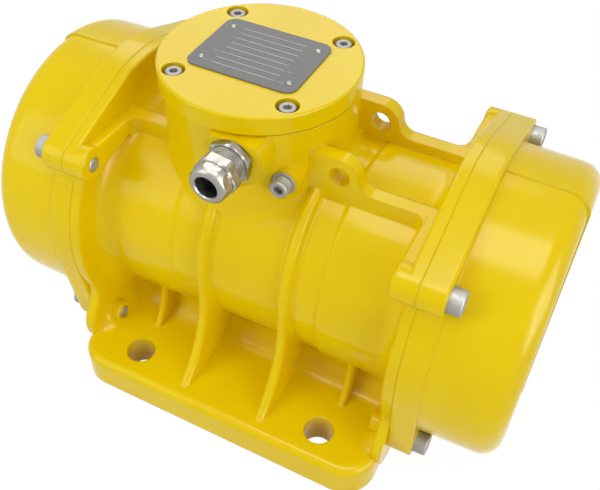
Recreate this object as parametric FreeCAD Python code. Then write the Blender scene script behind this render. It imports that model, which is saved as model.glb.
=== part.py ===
import FreeCAD, Part
import math
import os

V = FreeCAD.Vector

# Vibration motor with a foot. Millimetres.
# X runs along the shaft, -Y is the side with the cable gland, +Z is up.
# The origin lies on the foot's underside, at the centre of its four holes.

# Driving dimensions
AXIS_HEIGHT = 84.8
BARREL_RADIUS = 65.5
WAIST_RADIUS = 64.3
WAIST_HALF_LENGTH = 43.6
FOOT_LENGTH = 191.6
FOOT_WIDTH = 208.0
FOOT_THICKNESS = 21.2
FOOT_END_SETBACK = 2.2
BODY_FLANGE_THICKNESS = 6.5
COVER_FLANGE_THICKNESS = 13.6
COVER_LENGTH = 57.3
FOOT_HOLE_SPACING_X = 120.0
FOOT_HOLE_SPACING_Y = 170.0
FOOT_HOLE_RADIUS = 8.5

# Planes across the shaft: joint of housing and covers, inside of the flanges, ends of the covers
SEAM_X = FOOT_LENGTH / 2 + FOOT_END_SETBACK
FLANGE_X = SEAM_X - BODY_FLANGE_THICKNESS
COVER_END_X = SEAM_X + COVER_LENGTH

# How far a boss or web is sunk into the wall that carries it, and a length past every face for cuts
BURIED = 1.0
FAR = 3 * BARREL_RADIUS

# Flange outline: the upper half is the same on the housing and on the covers. The covers' lower lugs
# run straight into the flange's sides, the housing's lower lugs sit in wide lobes that grow from the foot.
FLANGE_SIDE_RADIUS = 84.3
FLANGE_TOP_RADIUS = 88.0
FLANGE_FLOOR_GAP = 1.0
FLANGE_EDGE_ROUND = 1.4
SEAM_CHAMFER = 0.2
LUG_ANGLE = 48.5
LUG_PITCH_RADIUS = 90.0
LUG_RADIUS = 9.5
LUG_BLEND_RADIUS = 5.0
LOBE_RADIUS = 20.5
LOBE_BLEND_RADIUS = 20.0
LOBE_EDGE_ROUND = 2.6
LOBE_COVE_RADIUS = 12.0
SHELF_THICKNESS = 7.0
SHELF_RISE = 67.2
SHELF_ROOT_DEPTH = 7.0
SHELF_EDGE_ROUND = 2.0
LOWER_BOSS_RADIUS = 6.5
LOWER_BOSS_LENGTH = 7.0
LOWER_BOSS_ROUND = 1.2
SHELF_TOP_Z = AXIS_HEIGHT + SHELF_RISE

# Barrel
COVE_RADIUS = 11.0
RIB_XS = (-23.5, 26.5)
RIB_HEIGHT = 5.0
RIB_WIDTH = 6.6
RIB_BLEND_RADIUS = 2.6
WAIST_RAMP = 2.0
STATOR_SEAT_RADIUS = 57.0
STATOR_SEAT_OVERLAP = 8.0
END_BORE_RADIUS = 58.0
SHIELD_POCKET_RADIUS = 67.6
SHIELD_POCKET_DEPTH = 8.0

# Foot
FOOT_CORNER_RADIUS = 19.0
FOOT_EDGE_ROUND = 4.4
FOOT_RELIEF_HALF_WIDTH = 46.0
FOOT_RELIEF_DEPTH = 3.0
WEB_HALF_WIDTH = 45.0
WEB_COVE_RADIUS = 15.0
GUSSET_THICKNESS = 6.2
GUSSET_ROUND = 2.9
GUSSET_DROP = 12.8
GUSSET_FOOT_INSET = 7.7
SMALL_GUSSET_XS = (-62.0, 64.0)
SMALL_GUSSET_THICKNESS = 4.8
SMALL_GUSSET_ROUND = 2.2
SMALL_GUSSET_TOP_Y = 54.0
SMALL_GUSSET_DROP = 35.8
SMALL_GUSSET_FOOT_Y = 65.6

# Terminal box
NECK_X = -20.5
NECK_RADIUS = 51.8
NECK_RISE = 96.6
NECK_BLEND_RADIUS = 7.0
BOX_RADIUS = 45.5
BOX_FLOOR_RISE = 69.2
NECK_TOP_Z = AXIS_HEIGHT + NECK_RISE
BOX_FLOOR_Z = AXIS_HEIGHT + BOX_FLOOR_RISE
WIRE_HOLE_RADIUS = 7.0
WIRE_HOLE_Y = 30.0
LID_X = -21.9
LID_RADIUS = 53.3
LID_THICKNESS = 10.0
LID_EDGE_ROUND = 1.2
LID_RECESS_DEPTH = 3.0
LID_RECESS_RADIUS = 37.0
GASKET_THICKNESS = 1.0
GASKET_SETBACK = 0.8
LID_SCREW_OFFSET = 31.94
LID_SCREW_BOSS_RADIUS = 6.5
LID_COUNTERBORE_RADIUS = 6.05
LID_COUNTERBORE_DEPTH = 6.2
LID_SCREW_REACH = 21.0
LID_WASHER_RADIUS = 5.2
LID_WASHER_THICKNESS = 0.8
PLATE_LENGTH = 61.6
PLATE_WIDTH = 48.7
PLATE_THICKNESS = 0.9
PLATE_CORNER_RADIUS = 6.0
PLATE_OFFSET_X = -0.4
RIVET_SPACING_X = 50.0
RIVET_SPACING_Y = 32.6
RIVET_RADIUS = 1.7
RIVET_HEIGHT = 0.8
RIVET_SHANK_RADIUS = 1.1
RIVET_SHANK_LENGTH = 4.0

# Terminal board: its place is measured from the neck's axis
BOARD_OFFSET_X = -3.5
BOARD_LENGTH = 46.0
BOARD_WIDTH = 34.0
BOARD_THICKNESS = 5.0
BOARD_CORNER_RADIUS = 3.0
BOARD_SCREW_INSET = 4.0
BOARD_SCREW_REACH = 6.0
STUD_SPACING_X = 13.0
STUD_SPACING_Y = 17.0
STUD_RADIUS = 2.0
STUD_HEIGHT = 11.0
STUD_LIFT = 0.2
NUT_ACROSS = 7.0
NUT_THICKNESS = 3.2

# Lifting plates
EYE_PLATE_INNER_Y = 22.0
EYE_PLATE_THICKNESS = 8.4
EYE_PLATE_ROOT_DEPTH = 30.0
EYE_PLATE_COVE_RADIUS = 5.5
EYE_X = 38.4
EYE_RISE = 73.2
EYE_RADIUS = 10.6
EYE_HOLE_RADIUS = 5.5
EYE_BLEND_RADIUS = 8.0
EYE_Z = AXIS_HEIGHT + EYE_RISE

# Cable gland
GLAND_X = -6.8
GLAND_RISE = 86.4
GLAND_BOSS_RADIUS = 16.0
GLAND_BOSS_Y = -56.0
GLAND_BOSS_TOP_GAP = 0.4
GLAND_THREAD_RADIUS = 9.5
GLAND_HEX_ACROSS = 22.0
GLAND_HEX_THICKNESS = 5.6
GLAND_NECK_LENGTH = 4.6
GLAND_NUT_HEX_LENGTH = 6.4
GLAND_DOME_LENGTH = 7.2
GLAND_DOME_RADIUS = 10.7
GLAND_BORE_RADIUS = 6.0
GLAND_SOCKET_RADIUS = 7.6
GLAND_INSIDE_LENGTH = 10.0
GLAND_RING_THICKNESS = 1.0
GLAND_Z = AXIS_HEIGHT + GLAND_RISE

# Earth screw
EARTH_X = 14.2
EARTH_RISE = 69.2
EARTH_BOSS_RADIUS = 7.2
EARTH_BOSS_Y = -42.2
EARTH_WASHER_RADIUS = 6.2
EARTH_WASHER_THICKNESS = 1.2
EARTH_SCREW_REACH = 10.0
EARTH_SPOT_GAP = 0.4
EARTH_Z = AXIS_HEIGHT + EARTH_RISE

# End covers
COVER_RADIUS = 83.3
COVER_END_RADIUS = 82.6
COVER_ROUND = 12.0
COVER_WALL = 4.0
COVER_LIP_RADIUS = 74.0
COVER_LIP_LENGTH = 6.0
COVER_STEP = 1.0
COVER_STEP_Y = 1.4
CORD_RING_RADIUS = 78.6
CORD_RING_WIDTH = 2.6
CORD_RING_DEPTH = 2.4

# Screws: thread radius, head radius, head height, key across flats
M8 = (4.0, 6.5, 7.6, 6.0)
M6 = (3.0, 5.0, 6.0, 5.0)
M5 = (2.5, 4.4, 4.8, 4.0)
M4 = (2.0, 3.5, 3.8, 3.0)
COVER_SCREW_BITE = 13.7
COVER_SCREW_TIP_X = SEAM_X - COVER_SCREW_BITE
COVER_SCREW_SEAT_DEPTH = 0.6
SCREW_HOLE_GAP = 0.3
THREAD_GAP = 0.1
THREAD_END_GAP = 1.0
SNUG_GAP = 0.05

# Bearings and shields: their depths are measured inwards from the shield's outer face
BEARING_DEPTH = 27.5
BEARING_WIDTH = 27.0
BEARING_BORE = 15.0
BEARING_OUTSIDE = 36.0
INNER_RING_WALL = 5.2
OUTER_RING_WALL = 5.2
ROLLER_COUNT = 11
ROLLER_LENGTH = 17.0
SHIELD_HUB_RADIUS = 44.0
SHIELD_FACE_SETBACK = 1.5
SHIELD_HUB_DEPTH = 32.5
SHIELD_WEB_DEPTH = 12.5
SHIELD_FACE_X = SEAM_X - SHIELD_FACE_SETBACK
SHIELD_HUB_X = SHIELD_FACE_X - SHIELD_HUB_DEPTH
SHIELD_WEB_X = SHIELD_FACE_X - SHIELD_WEB_DEPTH
BEARING_INNER_X = SHIELD_FACE_X - BEARING_DEPTH
SHIELD_RIB_COUNT = 6
SHIELD_RIB_THICKNESS = 6.0
SHIELD_SCREW_PITCH = 62.2
SHIELD_SCREW_COUNT = 6
SHIELD_SCREW_REACH = 15.0
CAP_RADIUS = 50.0
CAP_THICKNESS = 5.0
CAP_SCREW_PITCH = 44.0
CAP_SCREW_COUNT = 4
CAP_SCREW_REACH = 11.0

# Motor
AIR_GAP = 0.5
STATOR_BORE = 34.6
SLOT_COUNT = 24
SLOT_WIDTH = 5.0
SLOT_MOUTH = 2.4
SLOT_BOTTOM_RADIUS = 48.0
SLOT_TOP_RADIUS = 36.5
WINDING_OVERHANG = 20.0
WINDING_INNER_RADIUS = 37.4
WINDING_OUTER_RADIUS = 50.5
WINDING_CLEARANCE = 0.25
WINDING_END_GAP = 4.0
CORE_HALF_LENGTH = SHIELD_HUB_X - WINDING_END_GAP - WINDING_OVERHANG
CAGE_BAR_COUNT = 20
CAGE_BAR_RADIUS = 2.2
CAGE_BAR_PITCH = 30.4
CAGE_RING_LENGTH = 8.0
CAGE_RING_BORE = 24.0

# Shaft and weights
SHAFT_CORE_RADIUS = 19.0
SHAFT_END_RADIUS = 13.9
SHAFT_TIP = 3.1
SHAFT_CHAMFER = 1.2
SHAFT_STEP_GAP = 1.1
SHAFT_STEP_X = SHIELD_FACE_X + CAP_THICKNESS + SHAFT_STEP_GAP
FIT_CLEARANCE = 0.06
RUN_CLEARANCE = 0.08
CAP_SCREW_CLEARANCE = 1.2
WEIGHT_THICKNESS = 16.5
WEIGHT_SPACE = 0.8
WEIGHT_RADIUS = 68.0
WEIGHT_HALF_ANGLE = 78.0
WEIGHT_HUB_RADIUS = 25.0
WEIGHT_LUG_HEIGHT = 38.0
WEIGHT_LUG_HALF_WIDTH = 19.0
WEIGHT_SLIT = 3.0
WEIGHT_BORE = 14.0
CLAMP_HEIGHT = 27.0
KEY_WIDTH = 8.0
KEY_HEIGHT = 3.2
RETAINER_WIDTH = 1.8
RETAINER_RADIUS = 17.0
RETAINER_GROOVE = 12.6

LEFT = -1
RIGHT = 1


def axis_point(x, angle, radius):
    """Point at a radius from the motor axis; the angle turns from +Z towards -Y."""
    a = math.radians(angle)
    return V(x, -radius * math.sin(a), AXIS_HEIGHT + radius * math.cos(a))


def cyl(radius, length, base, direction):
    return Part.makeCylinder(radius, length, base, direction)


def box(x0, x1, y0, y1, z0, z1):
    return Part.makeBox(x1 - x0, y1 - y0, z1 - z0, V(x0, y0, z0))


def fuse(shapes):
    return shapes[0].multiFuse(shapes[1:]).removeSplitter()


def ring(inner, outer, x0, x1):
    """Ring around the motor axis."""
    low = min(x0, x1)
    tube = cyl(outer, abs(x1 - x0), V(low, 0, AXIS_HEIGHT), V(1, 0, 0))
    return tube.cut(cyl(inner, abs(x1 - x0) + 2, V(low - 1, 0, AXIS_HEIGHT), V(1, 0, 0)))


def polygon(points, closed=True):
    return Part.makePolygon(points + points[:1] if closed else points)


def revolve(wire):
    return Part.Face(wire).revolve(V(0, 0, AXIS_HEIGHT), V(1, 0, 0), 360)


def side_of(shape, side):
    """The shape as drawn for the right end, or its mirror image for the left."""
    if side == RIGHT:
        return shape
    return shape.mirror(V(0, 0, 0), V(1, 0, 0))


def hexagon(across, length, base, direction):
    """Hexagonal prism, across its flats."""
    corner = across / math.sqrt(3)
    points = [V(corner * math.cos(math.radians(60 * i)), corner * math.sin(math.radians(60 * i)), 0)
              for i in range(6)]
    prism = Part.Face(polygon(points)).extrude(V(0, 0, length))
    turn = FreeCAD.Rotation(V(0, 0, 1), direction)
    prism.Placement = FreeCAD.Placement(base, turn)
    return prism


def socket_screw(size, seat, direction, length, head_round=0.7):
    """Socket-head screw. The seat is the head's underside; the shank runs against direction."""
    thread, head, height, key = size
    body = cyl(head, height, seat, direction)
    top = seat + direction * height
    rim = [e for e in body.Edges if abs((e.CenterOfMass - top).Length) < 0.01]
    body = body.makeFillet(head_round, rim[:1])
    body = body.cut(hexagon(key, height * 0.55 + 1, seat + direction * (height * 0.45), direction))
    shank = cyl(thread, length + 0.5, seat - direction * length, direction)
    return body.fuse(shank).removeSplitter()


def lug_corner(x, radius, blend):
    """One quarter of a flange's outline, from its top to its -Y side, and the angles of its ends.

    The lug meets the side through a hollow arc of the blend radius, or straight if that is zero.
    """
    pitch = LUG_PITCH_RADIUS
    lug = axis_point(x, LUG_ANGLE, pitch)
    top_angle = LUG_ANGLE - math.degrees(math.acos((FLANGE_TOP_RADIUS - radius) / pitch))
    top = axis_point(x, top_angle, FLANGE_TOP_RADIUS)
    out = axis_point(0, top_angle, 1) - V(0, 0, AXIS_HEIGHT)
    lug_start = lug + out * radius
    if blend:
        reach_side = FLANGE_SIDE_RADIUS + blend
        reach_lug = radius + blend
        turn = math.acos((pitch ** 2 + reach_side ** 2 - reach_lug ** 2) / (2 * pitch * reach_side))
        side_angle = LUG_ANGLE + math.degrees(turn)
        side = axis_point(x, side_angle, FLANGE_SIDE_RADIUS)
        centre = axis_point(x, side_angle, reach_side)
        to_lug = (lug - centre).normalize()
        lug_end = centre + to_lug * blend
        middle = centre + (to_lug + (side - centre).normalize()).normalize() * blend
        join = Part.Arc(lug_end, middle, side).toShape()
    else:
        side_angle = LUG_ANGLE + math.degrees(math.acos((FLANGE_SIDE_RADIUS - radius) / pitch))
        side = axis_point(x, side_angle, FLANGE_SIDE_RADIUS)
        lug_end = lug + (axis_point(0, side_angle, 1) - V(0, 0, AXIS_HEIGHT)) * radius
        join = Part.makeLine(lug_end, side)
    lug_middle = lug + (out + (lug_end - lug).normalize()).normalize() * radius
    edges = [Part.makeLine(top, lug_start), Part.Arc(lug_start, lug_middle, lug_end).toShape(), join]
    return edges, top_angle, side_angle


def flange_outline(x, lower_blend):
    """Closed wire of a flange's outline, in the plane at x."""
    middle = V(0, 0, AXIS_HEIGHT)
    upper, upper_top, upper_side = lug_corner(x, LUG_RADIUS, LUG_BLEND_RADIUS)
    lower, lower_top, lower_side = lug_corner(x, LUG_RADIUS, lower_blend)
    front = upper + [edge.mirror(middle, V(0, 0, 1)) for edge in lower]
    edges = front + [edge.mirror(middle, V(0, 1, 0)) for edge in front]

    def arc(start, end, radius):
        points = [axis_point(x, angle, radius) for angle in (start, (start + end) / 2, end)]
        edges.append(Part.Arc(points[0], points[1], points[2]).toShape())

    arc(-upper_top, upper_top, FLANGE_TOP_RADIUS)
    arc(180 - lower_top, 180 + lower_top, FLANGE_TOP_RADIUS)
    arc(upper_side, 180 - lower_side, FLANGE_SIDE_RADIUS)
    arc(-upper_side, lower_side - 180, FLANGE_SIDE_RADIUS)
    return Part.Wire(Part.__sortEdges__(edges))


def above_floor(shape):
    """The shape without what reaches into the gap left between a flange and the floor."""
    return shape.cut(box(-FAR, FAR, -FAR, FAR, FLANGE_FLOOR_GAP - FAR, FLANGE_FLOOR_GAP))


def rim_at(shape, x):
    """Edges that lie whole in the plane at x."""
    return [e for e in shape.Edges if abs(e.BoundBox.XMin - x) < 0.01 and abs(e.BoundBox.XMax - x) < 0.01]


def flange_plate(seam, outer, lower_blend):
    """Flange from the joint to its outer face, rounded there and chamfered at the joint."""
    plate = Part.Face(flange_outline(seam, lower_blend)).extrude(V(outer - seam, 0, 0))
    plate = plate.makeFillet(FLANGE_EDGE_ROUND, rim_at(plate, outer))
    return above_floor(plate.makeChamfer(SEAM_CHAMFER, rim_at(plate, seam)))


def flange_lobes(seam, outer):
    """The two wide lobes about the lower screws of a housing flange, from the joint to its inner face."""
    top, lug, join = lug_corner(seam, LOBE_RADIUS, LOBE_BLEND_RADIUS)[0]
    start = lug.Vertexes[0].Point
    side = join.Vertexes[1].Point
    middle = V(seam, 0, AXIS_HEIGHT)
    crown = V(seam, 0, start.z)
    rest = [Part.makeLine(side, middle), Part.makeLine(middle, crown), Part.makeLine(crown, start)]
    lobe = Part.Face(Part.Wire([lug, join] + rest)).extrude(V(outer - seam, 0, 0))

    def bent(x):
        return [e for e in rim_at(lobe, x) if e.Curve.TypeId == "Part::GeomCircle"]

    lobe = lobe.makeFillet(LOBE_EDGE_ROUND, bent(outer))
    lobe = lobe.makeChamfer(SEAM_CHAMFER, bent(seam))
    lobe = above_floor(lobe.mirror(middle, V(0, 0, 1)))
    return [lobe, lobe.mirror(middle, V(0, 1, 0))]


def lobe_cove(side, face):
    """Cast cove between a lobe's inner face and the foot; it dies out round the lobe's outer end."""
    radius = LOBE_COVE_RADIUS
    axis_x = FLANGE_X + BURIED
    reach = radius + BURIED
    axis_y = abs(lug_points(0)[2].y) + LOBE_RADIUS - reach
    base = FOOT_THICKNESS
    top = base + radius
    lean = radius * math.sqrt(0.5)
    arc = Part.Arc(V(axis_x - reach, 0, base), V(axis_x - reach + radius - (radius - lean), 0, top - lean),
                   V(axis_x - BURIED, 0, top)).toShape()
    rest = polygon([V(axis_x - BURIED, 0, top), V(axis_x, 0, top), V(axis_x, 0, base - BURIED),
                    V(axis_x - reach, 0, base - BURIED), V(axis_x - reach, 0, base)], False)
    profile = Part.Face(Part.Wire([arc] + rest.Edges))
    straight = profile.extrude(V(0, axis_y, 0)).cut(box(-FAR, FAR, -FAR, WEB_HALF_WIDTH, 0, FAR))
    bent = profile.translated(V(0, axis_y, 0)).revolve(V(axis_x, axis_y, 0), V(0, 0, -1), 90)
    cove = straight.fuse(bent)
    if face < 0:
        cove = cove.mirror(V(0, 0, 0), V(0, 1, 0))
    return side_of(cove, side)


def barrel():
    """Turned body of the barrel: ribs, waist and the coves that run out into the flanges."""
    z = AXIS_HEIGHT
    flange_x = FLANGE_X
    cove_x = flange_x - COVE_RADIUS
    lean = COVE_RADIUS * math.sqrt(0.5)
    edges = []
    here = V(-flange_x, 0, z)

    def line_to(x, radius):
        nonlocal here
        target = V(x, 0, z + radius)
        edges.append(Part.makeLine(here, target))
        here = target

    def arc_to(mid, end):
        nonlocal here
        middle = V(mid[0], 0, z + mid[1])
        target = V(end[0], 0, z + end[1])
        edges.append(Part.Arc(here, middle, target).toShape())
        here = target

    rim = BARREL_RADIUS + COVE_RADIUS
    line_to(-flange_x, rim)
    arc_to((-flange_x + COVE_RADIUS - lean, rim - lean), (-cove_x, BARREL_RADIUS))
    line_to(-WAIST_HALF_LENGTH - WAIST_RAMP, BARREL_RADIUS)
    line_to(-WAIST_HALF_LENGTH, WAIST_RADIUS)
    blend = RIB_BLEND_RADIUS
    slope = blend * (1 - math.sqrt(0.5))
    top = WAIST_RADIUS + RIB_HEIGHT
    for rib_x in RIB_XS:
        left = rib_x - RIB_WIDTH / 2
        right = rib_x + RIB_WIDTH / 2
        line_to(left - blend, WAIST_RADIUS)
        arc_to((left - slope, WAIST_RADIUS + slope), (left, WAIST_RADIUS + blend))
        arc_to((rib_x, top), (right, WAIST_RADIUS + blend))
        arc_to((right + slope, WAIST_RADIUS + slope), (right + blend, WAIST_RADIUS))
    line_to(WAIST_HALF_LENGTH, WAIST_RADIUS)
    line_to(WAIST_HALF_LENGTH + WAIST_RAMP, BARREL_RADIUS)
    line_to(cove_x, BARREL_RADIUS)
    arc_to((flange_x - COVE_RADIUS + lean, rim - lean), (flange_x, rim))
    line_to(flange_x, 0)
    edges.append(Part.makeLine(here, V(-flange_x, 0, z)))
    return revolve(Part.Wire(edges))


def neck():
    """Neck of the terminal box, blended into a plain barrel."""
    trunk = cyl(WAIST_RADIUS, 2 * FLANGE_X, V(-FLANGE_X, 0, AXIS_HEIGHT), V(1, 0, 0))
    column = cyl(NECK_RADIUS, NECK_TOP_Z - AXIS_HEIGHT, V(NECK_X, 0, AXIS_HEIGHT), V(0, 0, 1))
    joined = trunk.fuse(column)
    seam = [e for e in joined.Edges
            if e.Curve.TypeId == "Part::GeomBSplineCurve" and e.BoundBox.ZMin > AXIS_HEIGHT]
    return joined.makeFillet(NECK_BLEND_RADIUS, seam)


def lifting_plate(y0, side):
    """One lifting plate from the neck to the end flange; the right ones carry an eye."""
    y1 = y0 + EYE_PLATE_THICKNESS
    low = AXIS_HEIGHT + WAIST_RADIUS - EYE_PLATE_ROOT_DEPTH
    end = FLANGE_X
    if side == LEFT:
        return box(-end, NECK_X, y0, y1, low, SHELF_TOP_Z)
    # The eye's arc meets the plate's top through a hollow arc that is tangent to both.
    rise = SHELF_TOP_Z + EYE_BLEND_RADIUS - EYE_Z
    reach = math.sqrt((EYE_RADIUS + EYE_BLEND_RADIUS) ** 2 - rise ** 2)
    hollow = V(EYE_X + reach, y0, SHELF_TOP_Z + EYE_BLEND_RADIUS)
    eye = V(EYE_X, y0, EYE_Z)
    join = eye + (hollow - eye).normalize() * EYE_RADIUS
    crown = eye + V(0, 0, EYE_RADIUS)
    crown_mid = eye + ((join - eye).normalize() + V(0, 0, 1)).normalize() * EYE_RADIUS
    rest = V(hollow.x, y0, SHELF_TOP_Z)
    hollow_mid = hollow + ((join - hollow).normalize() + V(0, 0, -1)).normalize() * EYE_BLEND_RADIUS
    edges = [
        Part.makeLine(V(NECK_X, y0, low), V(NECK_X, y0, crown.z)),
        Part.makeLine(V(NECK_X, y0, crown.z), crown),
        Part.Arc(crown, crown_mid, join).toShape(),
        Part.Arc(join, hollow_mid, rest).toShape(),
        Part.makeLine(rest, V(end, y0, SHELF_TOP_Z)),
        Part.makeLine(V(end, y0, SHELF_TOP_Z), V(end, y0, low)),
        Part.makeLine(V(end, y0, low), V(NECK_X, y0, low)),
    ]
    plate = Part.Face(Part.Wire(edges)).extrude(V(0, y1 - y0, 0))
    return plate.cut(cyl(EYE_HOLE_RADIUS, y1 - y0 + 2 * BURIED, eye - V(0, BURIED, 0), V(0, 1, 0)))


def plate_cove(side, face):
    """Cast cove in the corner between a lifting plate and the shelf."""
    radius = EYE_PLATE_COVE_RADIUS
    x1 = FLANGE_X - SHELF_THICKNESS
    y0 = EYE_PLATE_INNER_Y + EYE_PLATE_THICKNESS
    low = AXIS_HEIGHT + WAIST_RADIUS - EYE_PLATE_ROOT_DEPTH
    corner = box(x1 - radius, x1 + BURIED, y0 - BURIED, y0 + radius, low, SHELF_TOP_Z)
    corner = corner.cut(cyl(radius, FAR, V(x1 - radius, y0 + radius, low - BURIED), V(0, 0, 1)))
    if face < 0:
        corner = corner.mirror(V(0, 0, 0), V(0, 1, 0))
    return side_of(corner, side)


def foot():
    """Foot plate with rounded corners, its web under the barrel and its coves."""
    half_x = FOOT_LENGTH / 2
    half_y = FOOT_WIDTH / 2
    plate = box(-half_x, half_x, -half_y, half_y, 0, FOOT_THICKNESS)
    corners = [e for e in plate.Edges if abs(e.BoundBox.ZLength - FOOT_THICKNESS) < 0.01]
    plate = plate.makeFillet(FOOT_CORNER_RADIUS, corners)
    rim = [e for e in plate.Edges if e.BoundBox.ZMin > FOOT_THICKNESS - 0.01]
    plate = plate.makeFillet(FOOT_EDGE_ROUND, rim)
    end = FLANGE_X
    base = FOOT_THICKNESS
    web = WEB_HALF_WIDTH
    cove = WEB_COVE_RADIUS
    lean = cove * (1 - math.sqrt(0.5))
    edges = [
        Part.makeLine(V(-end, -web - cove, base - 5), V(-end, -web - cove, base)),
        Part.Arc(V(-end, -web - cove, base), V(-end, -web - lean, base + lean),
                 V(-end, -web, base + cove)).toShape(),
        Part.makeLine(V(-end, -web, base + cove), V(-end, web, base + cove)),
        Part.Arc(V(-end, web, base + cove), V(-end, web + lean, base + lean),
                 V(-end, web + cove, base)).toShape(),
        Part.makeLine(V(-end, web + cove, base), V(-end, web + cove, base - 5)),
        Part.makeLine(V(-end, web + cove, base - 5), V(-end, -web - cove, base - 5)),
    ]
    saddle = Part.Face(Part.Wire(edges)).extrude(V(2 * end, 0, 0))
    return [plate, saddle]


def gusset(x, thickness, rounding, root_z, top_y, top_z, foot_y, face):
    """Upright rib between barrel and foot: straight down from its root, then a hollow arc to the foot."""
    drop = top_z - FOOT_THICKNESS
    spread = foot_y - top_y
    radius = (drop ** 2 + spread ** 2) / (2 * spread)
    half = math.asin(drop / radius) / 2
    mid_y = top_y + radius * (1 - math.cos(half))
    mid_z = top_z - radius * math.sin(half)
    x0 = x - thickness / 2
    inner = WEB_HALF_WIDTH / 2
    base = FOOT_THICKNESS - FOOT_EDGE_ROUND - BURIED
    edges = [
        Part.makeLine(V(x0, face * inner, root_z), V(x0, face * top_y, root_z)),
        Part.makeLine(V(x0, face * top_y, root_z), V(x0, face * top_y, top_z)),
        Part.Arc(V(x0, face * top_y, top_z), V(x0, face * mid_y, mid_z),
                 V(x0, face * foot_y, FOOT_THICKNESS)).toShape(),
        Part.makeLine(V(x0, face * foot_y, FOOT_THICKNESS), V(x0, face * foot_y, base)),
        Part.makeLine(V(x0, face * foot_y, base), V(x0, face * inner, base)),
        Part.makeLine(V(x0, face * inner, base), V(x0, face * inner, root_z)),
    ]
    plate = Part.Face(Part.Wire(edges)).extrude(V(thickness, 0, 0))
    front = [e for e in plate.Edges if e.Curve.TypeId == "Part::GeomCircle"]
    return plate.makeFillet(rounding, front)


def shelf(side):
    """Web behind the flange with a round boss for each upper screw, thinner towards the middle."""
    x0 = FLANGE_X - SHELF_THICKNESS
    length = SHELF_THICKNESS + BURIED
    made = []
    for face in (-1, 1):
        lug = axis_point(x0, -face * LUG_ANGLE, LUG_PITCH_RADIUS)
        boss = cyl(LUG_RADIUS, length, lug, V(1, 0, 0))
        rim = [e for e in boss.Edges if e.BoundBox.XMax < x0 + 0.01]
        made.append(boss.makeFillet(SHELF_EDGE_ROUND, rim))
        inner = face * (EYE_PLATE_INNER_Y + BURIED)
        outline = [V(x0, inner, SHELF_TOP_Z), V(x0, lug.y, SHELF_TOP_Z),
                   V(x0, lug.y, lug.z - LUG_RADIUS + BURIED), V(x0, inner, SHELF_TOP_Z - SHELF_ROOT_DEPTH)]
        web = Part.Face(polygon(outline)).extrude(V(length, 0, 0))
        rims = [e for e in web.Edges if e.BoundBox.XMax < x0 + 0.01 and e.BoundBox.YLength > 1]
        made.append(web.makeFillet(SHELF_EDGE_ROUND, rims))
    return [side_of(shape, side) for shape in made]


def lower_boss(point, inward):
    """Round boss about the tip of a lower screw, from the flange inwards."""
    boss = cyl(LOWER_BOSS_RADIUS, LOWER_BOSS_LENGTH + BURIED, point - inward * BURIED, inward)
    end = point + inward * LOWER_BOSS_LENGTH
    rim = [e for e in boss.Edges if (e.CenterOfMass - end).Length < 0.01]
    return boss.makeFillet(LOWER_BOSS_ROUND, rim)


def lug_points(x):
    return [axis_point(x, angle, LUG_PITCH_RADIUS)
            for angle in (LUG_ANGLE, -LUG_ANGLE, 180 - LUG_ANGLE, LUG_ANGLE - 180)]


def lid_screw_points(z):
    return [V(LID_X + sx * LID_SCREW_OFFSET, sy * LID_SCREW_OFFSET, z)
            for sx in (-1, 1) for sy in (-1, 1)]


def foot_hole_points():
    return [V(sx * FOOT_HOLE_SPACING_X / 2, sy * FOOT_HOLE_SPACING_Y / 2, 0)
            for sx in (-1, 1) for sy in (-1, 1)]


def shield_screw_points(x):
    step = 360 / SHIELD_SCREW_COUNT
    return [axis_point(x, step / 2 + step * i, SHIELD_SCREW_PITCH) for i in range(SHIELD_SCREW_COUNT)]


def cap_screw_points(x):
    step = 360 / CAP_SCREW_COUNT
    return [axis_point(x, step * i, CAP_SCREW_PITCH) for i in range(CAP_SCREW_COUNT)]


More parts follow.
